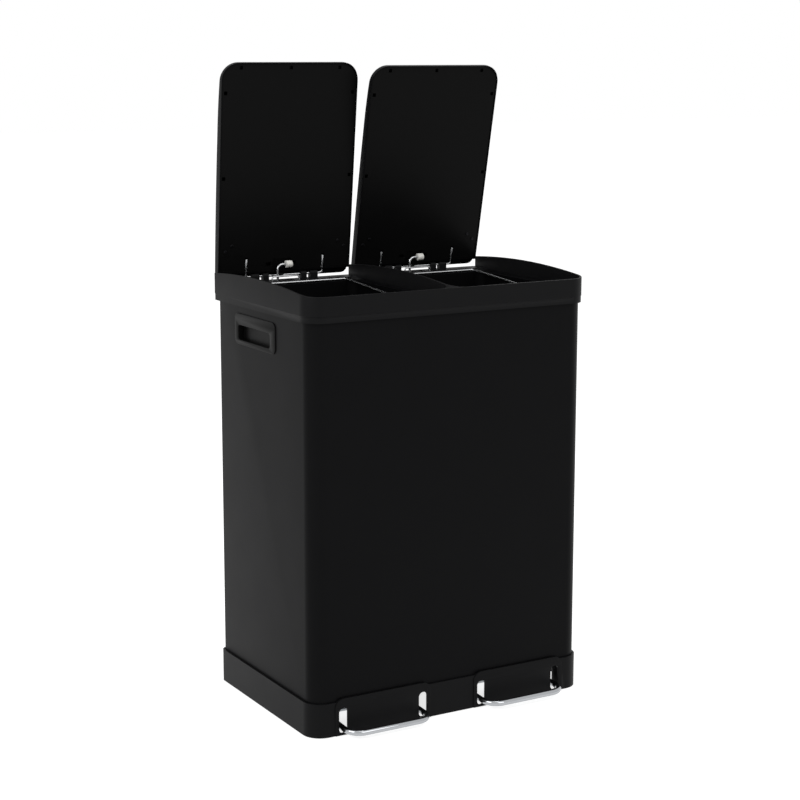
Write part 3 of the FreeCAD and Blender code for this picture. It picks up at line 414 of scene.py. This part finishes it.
class Paintshop:
    """Keeps each finish's material, by the finish's name, and puts it on pieces."""

    def __init__(self) -> None:
        """Make every material once."""
        self.materials = {finish.name: finish.make() for finish in FINISHES}

    def dress(self, piece: bpy.types.Object, finish: Finish) -> None:
        """Give a new piece one finish all over.

        Args:
            piece: The new piece.
            finish: What it is painted with.
        """
        piece.data.materials.clear()
        piece.data.materials.append(self.materials[finish.name])

    def dress_cad(self) -> int:
        """Repaint the carried-over nodes through their own slots.

        Returns:
            How many slots were repainted.
        """
        known = {finish.slot: self.materials[finish.name] for finish in SLOT_FINISHES}
        count = 0
        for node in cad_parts.values():
            for slot in node.material_slots:
                name = slot.material.name.split(".")[0] if slot.material else ""
                if name in known:
                    slot.material = known[name]
                    count += 1
        return count


def fit_out(piece: bpy.types.Object, shop: Paintshop, finish: Finish, body: str, *nodes: str) -> None:
    """Shade, paint and seat a finished piece and report it.

    Args:
        piece: The finished piece.
        shop: Where its material comes from.
        finish: Its finish.
        body: The body that it moves with.
        nodes: The nodes that it stands for.
    """
    smooth(piece)
    shop.dress(piece, finish)
    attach(piece, body)
    if nodes:
        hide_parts(*nodes)
    log.info("%s: %d faces on %s, %s", piece.name, len(piece.data.polygons), body, finish.name)


# --- bent wire ---
@dataclass(frozen=True)
class Run:
    """A straight stretch of wire."""

    length: float


@dataclass(frozen=True)
class Bend:
    """A bend, in degrees: to the left where positive, as the wire is seen along -normal."""

    degrees: float
    radius: float


@dataclass
class Wire:
    """Round wire or bar, drawn from one end to the other through runs and bends in one plane."""

    name: str
    radius: float
    start: Vector
    heading: Vector
    normal: Vector
    course: list[Run | Bend] = field(default_factory=list)
    sides: int = 16
    tip: float = 0.0
    step_degrees: float = 11

    def make(self) -> bpy.types.Object:
        """Pull a circle along the course, close both ends and round them.

        Returns:
            The wire, in the plane that it was drawn in.
        """
        ring = blank(self.name, "circle", vertices=self.sides, radius=self.radius, fill_type="NOTHING",
                     location=self.start, rotation=self.heading.to_track_quat("Z", "Y").to_euler())
        point, heading = self.start.copy(), self.heading.normalized()
        with editing(ring):
            for step in self.course:
                if isinstance(step, Run):
                    extrude(heading * step.length)
                    point += heading * step.length
                    continue
                turn = math.radians(step.degrees)
                side = self.normal.cross(heading) * math.copysign(step.radius, turn)
                center = point + side
                steps = max(3, round(abs(step.degrees) / self.step_degrees))
                # the spin operator turns clockwise about its axis, so the angle is given negative
                bpy.ops.mesh.spin(steps=steps, angle=-turn, center=center, axis=self.normal)
                rotation = Matrix.Rotation(turn, 3, self.normal)
                point = center + rotation @ (point - center)
                heading = rotation @ heading
            close_up()
            if self.tip:
                choose(Pick.FACES, lambda f: len(f.verts) == self.sides)
                bpy.ops.mesh.region_to_loop()
                bevel(self.tip, 2)
        return ring


# --- painted steel body ---
@dataclass
class SteelBody:
    """The wrapped steel body: front and sides in one sheet, with two returns at the back."""

    shop: Paintshop
    corner_front: float = 25 * MM
    corner_back: float = 8 * MM
    wall: float = 1 * MM
    back_return: float = 25 * MM
    pocket_middle: float = 25.6 * MM + SETBACK
    pocket_height: float = 569.3 * MM
    pocket_long: float = 110.5 * MM
    pocket_tall: float = 26.7 * MM
    pocket_corner: float = 7 * MM
    pocket_reach: float = 10 * MM

    def build(self) -> None:
        """Make the sheet from a block, open it at the top, the base and the back, and cut the pockets."""
        low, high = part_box("body_shell")
        piece = block("steel_body", Vector(low), Vector(high))
        window = high[0] - self.back_return
        with editing(piece):
            choose(Pick.FACES, lambda f: abs(f.normal.z) > FACING)
            bpy.ops.mesh.delete(type="FACE")
            choose(Pick.EDGES, lambda e: runs_along(e, 2) and middle(e).y < 0)
            bevel(self.corner_front, 14)
            choose(Pick.EDGES, lambda e: runs_along(e, 2) and middle(e).y > high[1] - NEAR)
            bevel(self.corner_back, 7)
            for edge in (-window, window):
                bpy.ops.mesh.select_all(action="SELECT")
                bpy.ops.mesh.bisect(plane_co=(edge, 0, 0), plane_no=(1, 0, 0))
            choose(Pick.FACES, lambda f: f.normal.y > FACING and abs(f.calc_center_median().x) < window)
            bpy.ops.mesh.delete(type="FACE")
        modify(piece, "SOLIDIFY", thickness=self.wall, offset=-1.0, use_even_offset=True)
        reach = Vector((self.pocket_reach, self.pocket_long / 2, self.pocket_tall / 2))
        for side in (low[0], high[0]):
            spot = Vector((side, self.pocket_middle, self.pocket_height))
            carve(piece, rounded_block("pocket_tool", spot - reach, spot + reach, 0, self.pocket_corner))
        fit_out(piece, self.shop, POWDER_COAT, "body", "body_shell")


# --- hand-holds ---
@dataclass
class HandHold:
    """A moulded bezel with a finger pocket, pushed into the side of the body."""

    shop: Paintshop
    hand: Hand
    bezel_corner: float = 10 * MM
    bezel_edge: float = 0.9 * MM
    mouth_long: float = 106.5 * MM
    mouth_tall: float = 22.7 * MM
    mouth_corner: float = 5 * MM
    mouth_back: float = 2.6 * MM
    mouth_drop: float = 5.2 * MM
    mouth_edge: float = 0.5 * MM
    proud: float = 1.6 * MM
    wall: float = 1.5 * MM

    def build(self) -> None:
        """Round a plate's rim, weld the pocket's box on behind it and hollow the pocket out."""
        node = f"hand_hold_{self.hand.value}"
        low, high = (Vector(corner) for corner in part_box(node))
        sign = self.hand.sign
        outer = high.x if sign > 0 else low.x
        inner = low.x if sign > 0 else high.x
        back = outer - sign * self.proud
        plate = rounded_block(
            f"hand_hold_bezel_{self.hand.value}",
            Vector((min(outer, back), low.y, low.z)), Vector((max(outer, back), high.y, high.z)),
            0, self.bezel_corner)
        with editing(plate):
            choose(Pick.FACES, lambda f: abs(f.calc_center_median().x - outer) < NEAR)
            bpy.ops.mesh.region_to_loop()
            bevel(self.bezel_edge, 3)
        spot = Vector((0, (low.y + high.y) / 2 + self.mouth_back, (low.z + high.z) / 2 - self.mouth_drop))

        def box(start: float, end: float, grow: float) -> bpy.types.Object:
            """A rounded box from start to end across the pocket's mouth, larger all round by grow."""
            half = Vector((0, self.mouth_long / 2 + grow, self.mouth_tall / 2 + grow))
            first, last = sorted((start, end))
            return rounded_block("pocket_box", spot - half + Vector((first, 0, 0)),
                                 spot + half + Vector((last, 0, 0)), 0, self.mouth_corner + grow)

        carve(plate, box(inner, back + sign * self.proud / 2, self.wall), "UNION")
        carve(plate, box(inner + sign * self.wall, outer + sign * MM, 0.0))
        with editing(plate):
            choose(Pick.EDGES, lambda e: e.calc_face_angle(0.0) > CORNER and abs(middle(e).x - outer) < NEAR)
            bevel(self.mouth_edge, 2)
        fit_out(plate, self.shop, SATIN_RIM, "body", node)


# --- rounded mouldings ---
@dataclass
class SoftMoulding:
    """A moulding whose long edges are rounded, made from a copy of its node's mesh."""

    shop: Paintshop
    name: str
    node: str
    body: str
    finish: Finish
    radius: float
    wanted: Callable[[bmesh.types.BMEdge], bool]
    crease: float = 50.0
    flat_degrees: float = 0.4

    def build(self) -> None:
        """Merge the copy's doubles, dissolve its flat facets and bevel the edges that are wanted."""
        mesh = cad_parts[self.node].data.copy()
        piece = bpy.data.objects.new(self.name, mesh)
        mesh.name = self.name
        bpy.context.scene.collection.objects.link(piece)
        with editing(piece):
            bpy.ops.mesh.remove_doubles(threshold=MERGE)
            bpy.ops.mesh.dissolve_limited(angle_limit=math.radians(self.flat_degrees), delimit=set())
            bpy.ops.mesh.select_all(action="SELECT")
            bpy.ops.mesh.normals_make_consistent(inside=False)
            sharp = math.radians(self.crease)
            count = choose(Pick.EDGES, lambda e: e.calc_face_angle(0.0) > sharp and self.wanted(e))
            bevel(self.radius, 3, clamp=True)
        log.info("%s: %d edges rounded", self.name, count)
        fit_out(piece, self.shop, self.finish, self.body, self.node)


# --- lids ---
@dataclass
class LidCover:
    """A lid's outer shell: a crowned top, a skirt all round, drawn closed and then stood open."""

    shop: Paintshop
    hand: Hand
    hinge: Vector
    opened: float
    half_back: float = 114.6 * MM
    half_front: float = 116.3 * MM
    tail: float = 4 * MM
    length: float = 329 * MM
    corner: float = 28 * MM
    shoulder: float = 240 * MM
    wall: float = 2 * MM
    edge: float = 1.8 * MM
    tail_corner: float = 10 * MM
    row: float = 16 * MM
    step_at: float = 6 * MM
    step_width: float = 0.2 * MM
    top_back: float = 10 * MM
    top_crest: float = 20.7 * MM
    top_nose: float = 16.8 * MM
    bow_back: float = 4664 * MM
    bow_front: float = 730 * MM
    crease: float = 312 * MM
    relief: float = 5.8 * MM
    raised: float = 40 * MM
    crown_degrees: float = 50

    def top(self, reach: float) -> float:
        """Height of the crowned top at a reach from the hinge, as two shallow arcs.

        Args:
            reach: Distance in front of the hinge.

        Returns:
            The height above the hinge.
        """
        if reach < self.shoulder:
            start, end, low, high, bow = -self.tail, self.shoulder, self.top_back, self.top_crest, self.bow_back
        else:
            start, end, low, high, bow = self.shoulder, self.length, self.top_crest, self.top_nose, self.bow_front
        along = (reach - start) / (end - start)
        return low + (high - low) * along + (reach - start) * (end - reach) / (2 * bow)

    def skirt(self, reach: float) -> float:
        """Height of the skirt's lower edge, which steps clear of the hinge and follows the frame's walls.

        Args:
            reach: Distance in front of the hinge.

        Returns:
            The height above the hinge.
        """
        if reach < self.step_at - NEAR:
            return self.relief
        if reach > self.crease:
            return (10.5 - 1.9 * (reach - self.crease) / (self.length - self.crease)) * MM
        return (-2 + 12.5 * (reach - self.step_at) / (self.crease - self.step_at)) * MM

    def shape_rows(self, level: float, height: Callable[[float], float]) -> None:
        """Move each row of points that lies at one level to its height, in edit mode.

        Args:
            level: Where the rows lie.
            height: Gives a row's new height from its distance in front of the hinge.
        """
        mesh = bmesh.from_edit_mesh(bpy.context.edit_object.data)
        rows = sorted({round(v.co.y, 6) for v in mesh.verts if abs(v.co.z - level) < NEAR})
        for row in rows:
            if choose(Pick.VERTS, lambda v: abs(v.co.y - row) < 2e-6 and abs(v.co.z - level) < NEAR):
                bpy.ops.transform.translate(value=(0, 0, height(-row) - level))

    def build(self) -> None:
        """Draw the plan, cut it into rows, raise it, crown it, round its rim and thin its wall."""
        depth = self.length + self.tail
        piece = blank(f"lid_shell_{self.hand.value}", "plane", dims=(self.half_back * 2, depth, 1),
                      size=1.0, location=(0, (self.tail - self.length) / 2, 0))
        with editing(piece):
            for side in (-1, 1):
                choose(Pick.VERTS, lambda v: v.co.y < -self.length / 2 and v.co.x * side > 0)
                bpy.ops.transform.translate(value=(side * (self.half_front - self.half_back), 0, 0))
            choose(Pick.VERTS, lambda v: v.co.y < -self.length / 2)
            bevel(self.corner, 12, "VERTICES")
            choose(Pick.VERTS, lambda v: v.co.y > 0)
            bevel(self.tail_corner, 3, "VERTICES")
            cuts = [self.step_at, self.step_at - self.step_width]
            cuts += [self.row * i for i in range(1, math.ceil(self.length / self.row))]
            for reach in cuts:
                bpy.ops.mesh.select_all(action="SELECT")
                bpy.ops.mesh.bisect(plane_co=(0, -reach, 0), plane_no=(0, 1, 0))
            bpy.ops.mesh.select_all(action="SELECT")
            extrude((0, 0, self.raised))
            self.shape_rows(self.raised, self.top)
            self.shape_rows(0.0, self.skirt)
            close_up()
            choose(Pick.EDGES, lambda e: e.calc_face_angle(0.0) > math.radians(self.crown_degrees)
                   and max(f.normal.z for f in e.link_faces) > FACING)
            bevel(self.edge, 4)
            choose(Pick.FACES, lambda f: f.normal.z < -0.5)
            bpy.ops.mesh.delete(type="FACE")
        modify(piece, "SOLIDIFY", thickness=self.wall, offset=-1.0, use_even_offset=True)
        piece.location = self.hinge
        piece.rotation_euler = (-self.opened, 0, 0)
        freeze(piece)
        fit_out(piece, self.shop, LID_SHELL, f"lid_{self.hand.value}_body", f"lid_cover_{self.hand.value}")


# --- one bin's metalwork ---
@dataclass
class Metalwork:
    """The bent wires of one bin: hinge wire, guide wire, lift rod with its cap, bail and pedal."""

    shop: Paintshop
    hand: Hand
    opened: float
    middle: float
    hinge: Vector
    rod_rate: float = 17 * MM
    lever_reach: float = 187 * MM
    rod_swing: float = math.radians(4.1)

    def stand(self, piece: bpy.types.Object, spot: Vector, turn: float = 0.0) -> bpy.types.Object:
        """Put a piece that was drawn about its own pivot in place, turned about X.

        Args:
            piece: The piece.
            spot: Where its pivot goes.
            turn: How far it is turned, in radians.

        Returns:
            The same piece, with its place in its mesh.
        """
        piece.location = spot
        piece.rotation_euler = (turn, 0, 0)
        freeze(piece)
        return piece

    def hinge_wire(self) -> None:
        """The wire through the knuckles, with both ends bent forward into the liner."""
        half, tail, bend = 66.5 * MM, 28 * MM, 4 * MM
        wire = Wire(f"hinge_rod_{self.hand.value}", 1.6 * MM, Vector((-half, -tail, 0)), Vector((0, 1, 0)),
                    Vector((0, 0, 1)), [Run(tail - bend), Bend(-90, bend), Run(2 * (half - bend)),
                                        Bend(-90, bend), Run(tail - bend)], tip=0.4 * MM).make()
        self.stand(wire, self.hinge, -self.opened)
        fit_out(wire, self.shop, DRAWN_WIRE, f"lid_{self.hand.value}_body", f"hinge_wire_{self.hand.value}")

    def guide_wire(self) -> None:
        """The staple on the hinge shelf that steers the lift rod."""
        left, right, bend = -30 * MM, 17 * MM, 4 * MM
        root, top = 628 * MM, 641 * MM
        leg = Run(top - bend - root)
        wire = Wire(f"guide_staple_{self.hand.value}", 1.25 * MM, Vector((left, 0, root)), Vector((0, 0, 1)),
                    Vector((0, -1, 0)),
                    [leg, Bend(-90, bend), Run(right - left - 2 * bend), Bend(-90, bend), leg]).make()
        self.stand(wire, Vector((self.middle, 138.5 * MM + SETBACK, 0)))
        fit_out(wire, self.shop, DRAWN_WIRE, "body", f"guide_wire_{self.hand.value}")

    def lift_rod(self) -> None:
        """The rod from the pedal lever up to the lid, and the nylon cap on its bent end."""
        rise = self.rod_rate * self.opened
        side, bend, foot, top = 16 * MM, 8 * MM, 5.1 * MM, 634 * MM
        rod = Wire(f"lift_wire_{self.hand.value}", 2 * MM, Vector((-side, 0, foot)), Vector((0, 0, 1)),
                   Vector((0, -1, 0)), [Run(top - bend - foot), Bend(-90, bend), Run(side + 7.4 * MM - bend)],
                   tip=0.4 * MM).make()
        spot = Vector((self.middle, 147 * MM + SETBACK, rise))
        self.stand(rod, spot)
        fit_out(rod, self.shop, DRAWN_WIRE, f"rod_{self.hand.value}_body", f"lift_rod_{self.hand.value}")
        cap = blank(f"nylon_cap_{self.hand.value}", "cylinder", vertices=28, radius=5.5 * MM, depth=11 * MM,
                    location=(3.5 * MM, 0, top), rotation=(0, math.pi / 2, 0))
        with editing(cap):
            choose(Pick.FACES, lambda f: f.normal.x > FACING)
            bpy.ops.mesh.region_to_loop()
            bevel(2 * MM, 4)
            choose(Pick.FACES, lambda f: f.normal.x < -FACING)
            bpy.ops.mesh.region_to_loop()
            bevel(0.5 * MM, 2)
            choose(Pick.FACES, lambda f: f.normal.x < -FACING and len(f.verts) > 8)
            bpy.ops.mesh.inset(thickness=2.7 * MM)
            extrude((3 * MM, 0, 0))
            close_up()
        self.stand(cap, spot)
        fit_out(cap, self.shop, NYLON, f"rod_{self.hand.value}_body", f"rod_cap_{self.hand.value}")

    def bail(self) -> None:
        """The bucket's handle: hooks in the bosses, two leaning legs and a bar across the back."""
        radius, bend, reach, pivot_z = 1.6 * MM, 4 * MM, 137 * MM, 621 * MM
        lean, hook, foot = 2.2, 104.7 * MM, 100.9 * MM
        flange_top, flange_inner, gap = 630 * MM, 128.95 * MM, 0.3 * MM
        tilt = math.radians(lean)
        leg = (reach - bend * 2 + bend * math.sin(tilt) * 2) / math.cos(tilt)
        bar = foot - bend * math.cos(tilt) * 2 - leg * math.sin(tilt)
        fold = math.atan((flange_top + radius + gap - pivot_z) / flange_inner)
        up = [Run(hook - foot), Bend(90 - lean, bend), Run(leg), Bend(lean - 90, bend)]
        wire = Wire(f"bail_wire_{self.hand.value}", radius, Vector((-hook, 0, 0)), Vector((1, 0, 0)),
                    Vector((0, 0, 1)), [*up, Run(2 * bar), *reversed(up)]).make()
        self.stand(wire, Vector((self.middle, -11.65 * MM + SETBACK, pivot_z)), fold)
        fit_out(wire, self.shop, DRAWN_WIRE, f"bail_{self.hand.value}_body", f"bail_{self.hand.value}")

    def pedal(self) -> None:
        """The chrome pedal bar, bent to a U, pushed down as its lid is open."""
        leg, end, reach, bend, drop = 67.7 * MM, 25 * MM, 144 * MM, 22 * MM, 3.5 * MM
        arm = Run(reach - bend - end)
        bar = Wire(f"pedal_bar_{self.hand.value}", 4.5 * MM, Vector((-leg, -end, -drop)), Vector((0, -1, 0)),
                   Vector((0, 0, 1)), [arm, Bend(90, bend), Run(2 * (leg - bend)), Bend(90, bend), arm],
                   sides=28, tip=0.6 * MM).make()
        turn = self.opened * self.rod_rate / self.lever_reach - self.rod_swing
        self.stand(bar, Vector((self.middle, -40 * MM + SETBACK, 21.5 * MM)), turn)
        fit_out(bar, self.shop, CHROME, f"pedal_{self.hand.value}_body", f"pedal_{self.hand.value}")

    def build(self) -> None:
        """Make all the wires of this bin."""
        self.hinge_wire()
        self.guide_wire()
        self.lift_rod()
        self.bail()
        self.pedal()


# --- fastenings and feet ---
@dataclass
class Fastenings:
    """Cross-head screws at the back and in the lids' liners, and the rubber feet."""

    shop: Paintshop
    back_radius: float = 2.4 * MM
    back_height: float = 1.6 * MM
    lid_radius: float = 2.6 * MM
    lid_height: float = 1.2 * MM
    foot_radius: float = 10 * MM
    foot_pad: float = 4 * MM
    stem_radius: float = 3 * MM
    stem_length: float = 10 * MM
    groove_inner: float = 6 * MM
    groove_outer: float = 7.5 * MM
    groove_depth: float = 0.8 * MM

    def screw(self, name: str, radius: float, height: float) -> bpy.types.Object:
        """Model one domed head with a cross recess, its seat at the origin and its top along +Z.

        Args:
            name: The screw's name.
            radius: The head's radius.
            height: The head's height.

        Returns:
            The screw's head on a short shank.
        """
        head = blank(name, "cylinder", vertices=24, radius=radius, depth=height, location=(0, 0, height / 2))
        with editing(head):
            choose(Pick.FACES, lambda f: f.normal.z > FACING)
            bpy.ops.mesh.region_to_loop()
            bevel(height * 0.45, 3)
            choose(Pick.FACES, lambda f: f.normal.z < -FACING)
            bpy.ops.mesh.inset(thickness=radius * 0.45)
            extrude((0, 0, -2 * MM))
        long, thin = radius * 0.6, radius * 0.13
        for across, along in ((long, thin), (thin, long)):
            carve(head, block("driver", Vector((-across, -along, height * 0.45)),
                              Vector((across, along, height * 2))))
        return head

    def build_back(self) -> None:
        """Four screws at the back, in two rows."""
        for node in ("frame_screws", "base_screws"):
            low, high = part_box(node)
            head = self.screw(node + "_master", self.back_radius, self.back_height)
            height, seat = (low[2] + high[2]) / 2, high[1] - self.back_height
            turned = Matrix.Rotation(-math.pi / 2, 4, "X")
            copies = [mate(head, f"{node}_{side}", Matrix.Translation((x, seat, height)) @ turned)
                      for side, x in (("left", low[0] + self.back_radius), ("right", high[0] - self.back_radius))]
            bpy.data.objects.remove(head)
            fit_out(join(f"{node}_cross_head", copies), self.shop, ZINC, "body", node)

    def build_lid(self, hand: Hand, hinge: Vector, opened: float) -> None:
        """Four small screws under one lid, seated on its sloping liner.

        Args:
            hand: Which lid.
            hinge: The middle of its hinge.
            opened: How far it stands open, in radians.
        """
        node = f"lid_screws_{hand.value}"
        head = self.screw(node + "_master", self.lid_radius, self.lid_height)
        stand = Matrix.Translation(hinge) @ Matrix.Rotation(-opened, 4, "X")
        facing_down = Matrix.Rotation(math.pi, 4, "X")
        slope = 12.5 / 306
        copies = []
        for side in (-1, 1):
            for number, (across, reach) in enumerate(((103.0, 41.0), (92.0, 50.0))):
                seat = -2 + (reach - 2.6 - 6) * slope + 1
                place = Matrix.Translation((across * side * MM, -reach * MM, seat * MM)) @ facing_down
                copies.append(mate(head, f"{node}_{number}_{side}", stand @ place))
        bpy.data.objects.remove(head)
        fit_out(join(f"{node}_cross_head", copies), self.shop, BLACK_ZINC, f"lid_{hand.value}_body", node)

    def build_feet(self) -> None:
        """Four rubber discs with a soft rim, a ring groove underneath and a stem."""
        low, high = (Vector(corner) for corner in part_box("base_feet"))
        radius, pad = self.foot_radius, self.foot_pad
        foot = blank("foot_master", "cylinder", vertices=40, radius=radius, depth=pad,
                     location=(0, 0, pad / 2))
        with editing(foot):
            choose(Pick.FACES, lambda f: f.normal.z < -FACING)
            bpy.ops.mesh.inset(thickness=radius - self.groove_outer)
            bpy.ops.mesh.inset(thickness=self.groove_outer - self.groove_inner)
            choose(Pick.FACES, lambda f: f.normal.z < -FACING
                   and self.groove_inner < f.calc_center_median().xy.length < self.groove_outer)
            extrude((0, 0, self.groove_depth))
            choose(Pick.FACES, lambda f: f.normal.z > FACING)
            bpy.ops.mesh.inset(thickness=radius - self.stem_radius)
            extrude((0, 0, self.stem_length))
            choose(Pick.EDGES, lambda e: abs(middle(e).xy.length - radius) < 0.2 * MM
                   and e.calc_face_angle(0.0) > CORNER)
            bevel(0.6 * MM, 2)
            close_up()
        spots = [(x, y) for x in (low.x + radius, high.x - radius) for y in (low.y + radius, high.y - radius)]
        feet = [mate(foot, f"foot_{n}", Matrix.Translation((x, y, 0))) for n, (x, y) in enumerate(spots)]
        bpy.data.objects.remove(foot)
        fit_out(join("rubber_feet", feet), self.shop, RUBBER, "body", "base_feet")


# --- studio ---
@dataclass
class Studio:
    """A white floor and sky, three soft lamps and the camera."""

    # A camera fitted to the edges of the bin in the photograph, with almost no shift.
    eye: Vector = field(default_factory=lambda: Vector((-1.3927, -2.3755 + SETBACK, 0.9792)))
    heading: float = 29.902
    pitch: float = 9.982
    focal: float = 81.78
    shift: tuple[float, float] = (0.0183, -0.0312)
    sensor: float = 36
    aim: Vector = field(default_factory=lambda: Vector((0, 0, 0.5)))
    sky_seen: float = 1.0
    sky_light: float = 0.55
    floor_glow: float = 0.78
    floor_size: float = 40.0
    floor_drop: float = 0.2 * MM

    def see_white(self, tree: bpy.types.NodeTree) -> bpy.types.NodeSocket:
        """Tell the rays that should see a white background: from the camera, a mirror or a glass.

        Args:
            tree: The node tree that asks.

        Returns:
            A socket that is 1 for such rays and 0 for the rest.
        """
        path = add_node(tree, "LightPath")
        first = add_node(tree, "Math", {0: path.outputs["Is Camera Ray"], 1: path.outputs["Is Glossy Ray"]},
                         operation="MAXIMUM")
        return add_node(tree, "Math", {0: first.outputs[0], 1: path.outputs["Is Transmission Ray"]},
                        operation="MAXIMUM").outputs[0]

    def sky(self) -> None:
        """A world that looks white and lights the bin softly."""
        world = bpy.data.worlds.new("white_sky")
        bpy.context.scene.world = world
        world.use_nodes = True
        tree = world.node_tree
        tree.nodes.clear()
        seen = add_node(tree, "Background", Color=(1, 1, 1, 1), Strength=self.sky_seen)
        light = add_node(tree, "Background", Color=(1, 1, 1, 1), Strength=self.sky_light)
        mix = add_node(tree, "MixShader", {0: self.see_white(tree), 1: light.outputs[0], 2: seen.outputs[0]})
        add_node(tree, "OutputWorld", {"Surface": mix.outputs[0]})

    def floor(self) -> None:
        """A white floor that keeps the bin's soft shadow."""
        piece = blank("floor", "plane", size=self.floor_size, location=(0, 0, -self.floor_drop))
        material = bpy.data.materials.new("white_floor")
        material.use_nodes = True
        tree = material.node_tree
        tree.nodes.clear()
        paint = add_node(tree, "BsdfDiffuse", Color=linear("#c8c8c8"))
        glow = add_node(tree, "Emission", Color=(1, 1, 1, 1), Strength=self.floor_glow)
        dark = add_node(tree, "Emission", Color=(0, 0, 0, 1), Strength=0.0)
        lit = add_node(tree, "MixShader", {0: self.see_white(tree), 1: dark.outputs[0], 2: glow.outputs[0]})
        both = add_node(tree, "AddShader", {0: paint.outputs[0], 1: lit.outputs[0]})
        add_node(tree, "OutputMaterial", {"Surface": both.outputs[0]})
        piece.data.materials.append(material)

    def lamp(self, name: str, place: Vector, size: float, power: float) -> None:
        """Hang one soft square lamp that faces the bin's middle.

        Args:
            name: The lamp's name.
            place: Where it hangs.
            size: Its width.
            power: Its power in watts.
        """
        data = bpy.data.lights.new(name, "AREA")
        data.size, data.energy = size, power
        lamp = bpy.data.objects.new(name, data)
        lamp.location = place
        lamp.rotation_euler = (self.aim - place).to_track_quat("-Z", "Y").to_euler()
        bpy.context.scene.collection.objects.link(lamp)

    def camera(self) -> None:
        """Set the camera at the photograph's viewing angle."""
        data = bpy.data.cameras.new("photo_camera")
        data.sensor_width = self.sensor
        data.lens = self.focal
        data.shift_x, data.shift_y = self.shift
        camera = bpy.data.objects.new("photo_camera", data)
        camera.location = self.eye
        camera.rotation_euler = (math.radians(90 - self.pitch), 0, -math.radians(self.heading))
        bpy.context.scene.collection.objects.link(camera)
        bpy.context.scene.camera = camera

    def build(self) -> None:
        """Set up sky, floor, lamps and camera."""
        bpy.context.scene.view_settings.view_transform = "Standard"
        self.sky()
        self.floor()
        self.lamp("left_softbox", Vector((-2.2, -0.6, 1.9)), 1.6, 24)
        self.lamp("front_softbox", Vector((0.6, -2.6, 2.2)), 1.8, 18)
        self.lamp("top_softbox", Vector((0.3, 0.4, 2.8)), 1.6, 22)
        self.camera()


RIM_WALLS = 646 * MM         # edges above this run round the top of the frame's walls
BASE_TOP = 52 * MM
BEZEL_FACE = -146.9 * MM
ABOVE_FLOOR = 2 * MM
RIM_RADIUS = 0.9 * MM
BASE_RADIUS = 0.7 * MM
BIN_MIDDLE = 119.4 * MM
HINGE_BACK = 157 * MM + SETBACK
HINGE_HEIGHT = 641 * MM
OPENED = {Hand.LEFT: math.radians(82.3), Hand.RIGHT: math.radians(76.2)}


def rim_edge(edge: bmesh.types.BMEdge) -> bool:
    """Whether an edge runs round the top of the frame's walls."""
    return middle(edge).z > RIM_WALLS


def base_edge(edge: bmesh.types.BMEdge) -> bool:
    """Whether an edge runs round the top of the base, or round a pedal bezel's face."""
    spot = middle(edge)
    return abs(spot.z - BASE_TOP) < NEAR or (spot.y < BEZEL_FACE and spot.z > ABOVE_FLOOR)


def main() -> None:
    """Build every piece, dress the carried-over nodes and set up the studio."""
    logging.basicConfig(level=logging.INFO, format="%(name)s: %(message)s")
    shop = Paintshop()
    log.info("carried-over slots repainted: %d", shop.dress_cad())
    SteelBody(shop).build()
    SoftMoulding(shop, "rim_moulding", "top_frame", "body", MOULDED_RIM, RIM_RADIUS, rim_edge).build()
    SoftMoulding(shop, "base_moulding", "base_skirt", "body", MOULDED_RIM, BASE_RADIUS, base_edge).build()
    fastenings = Fastenings(shop)
    fastenings.build_back()
    fastenings.build_feet()
    for hand, opened in OPENED.items():
        middle_x = BIN_MIDDLE * hand.sign
        hinge = Vector((middle_x, HINGE_BACK, HINGE_HEIGHT))
        HandHold(shop, hand).build()
        LidCover(shop, hand, hinge, opened).build()
        Metalwork(shop, hand, opened, middle_x, hinge).build()
        fastenings.build_lid(hand, hinge, opened)
    Studio().build()
    deselect()


if __name__ == "__main__":
    main()
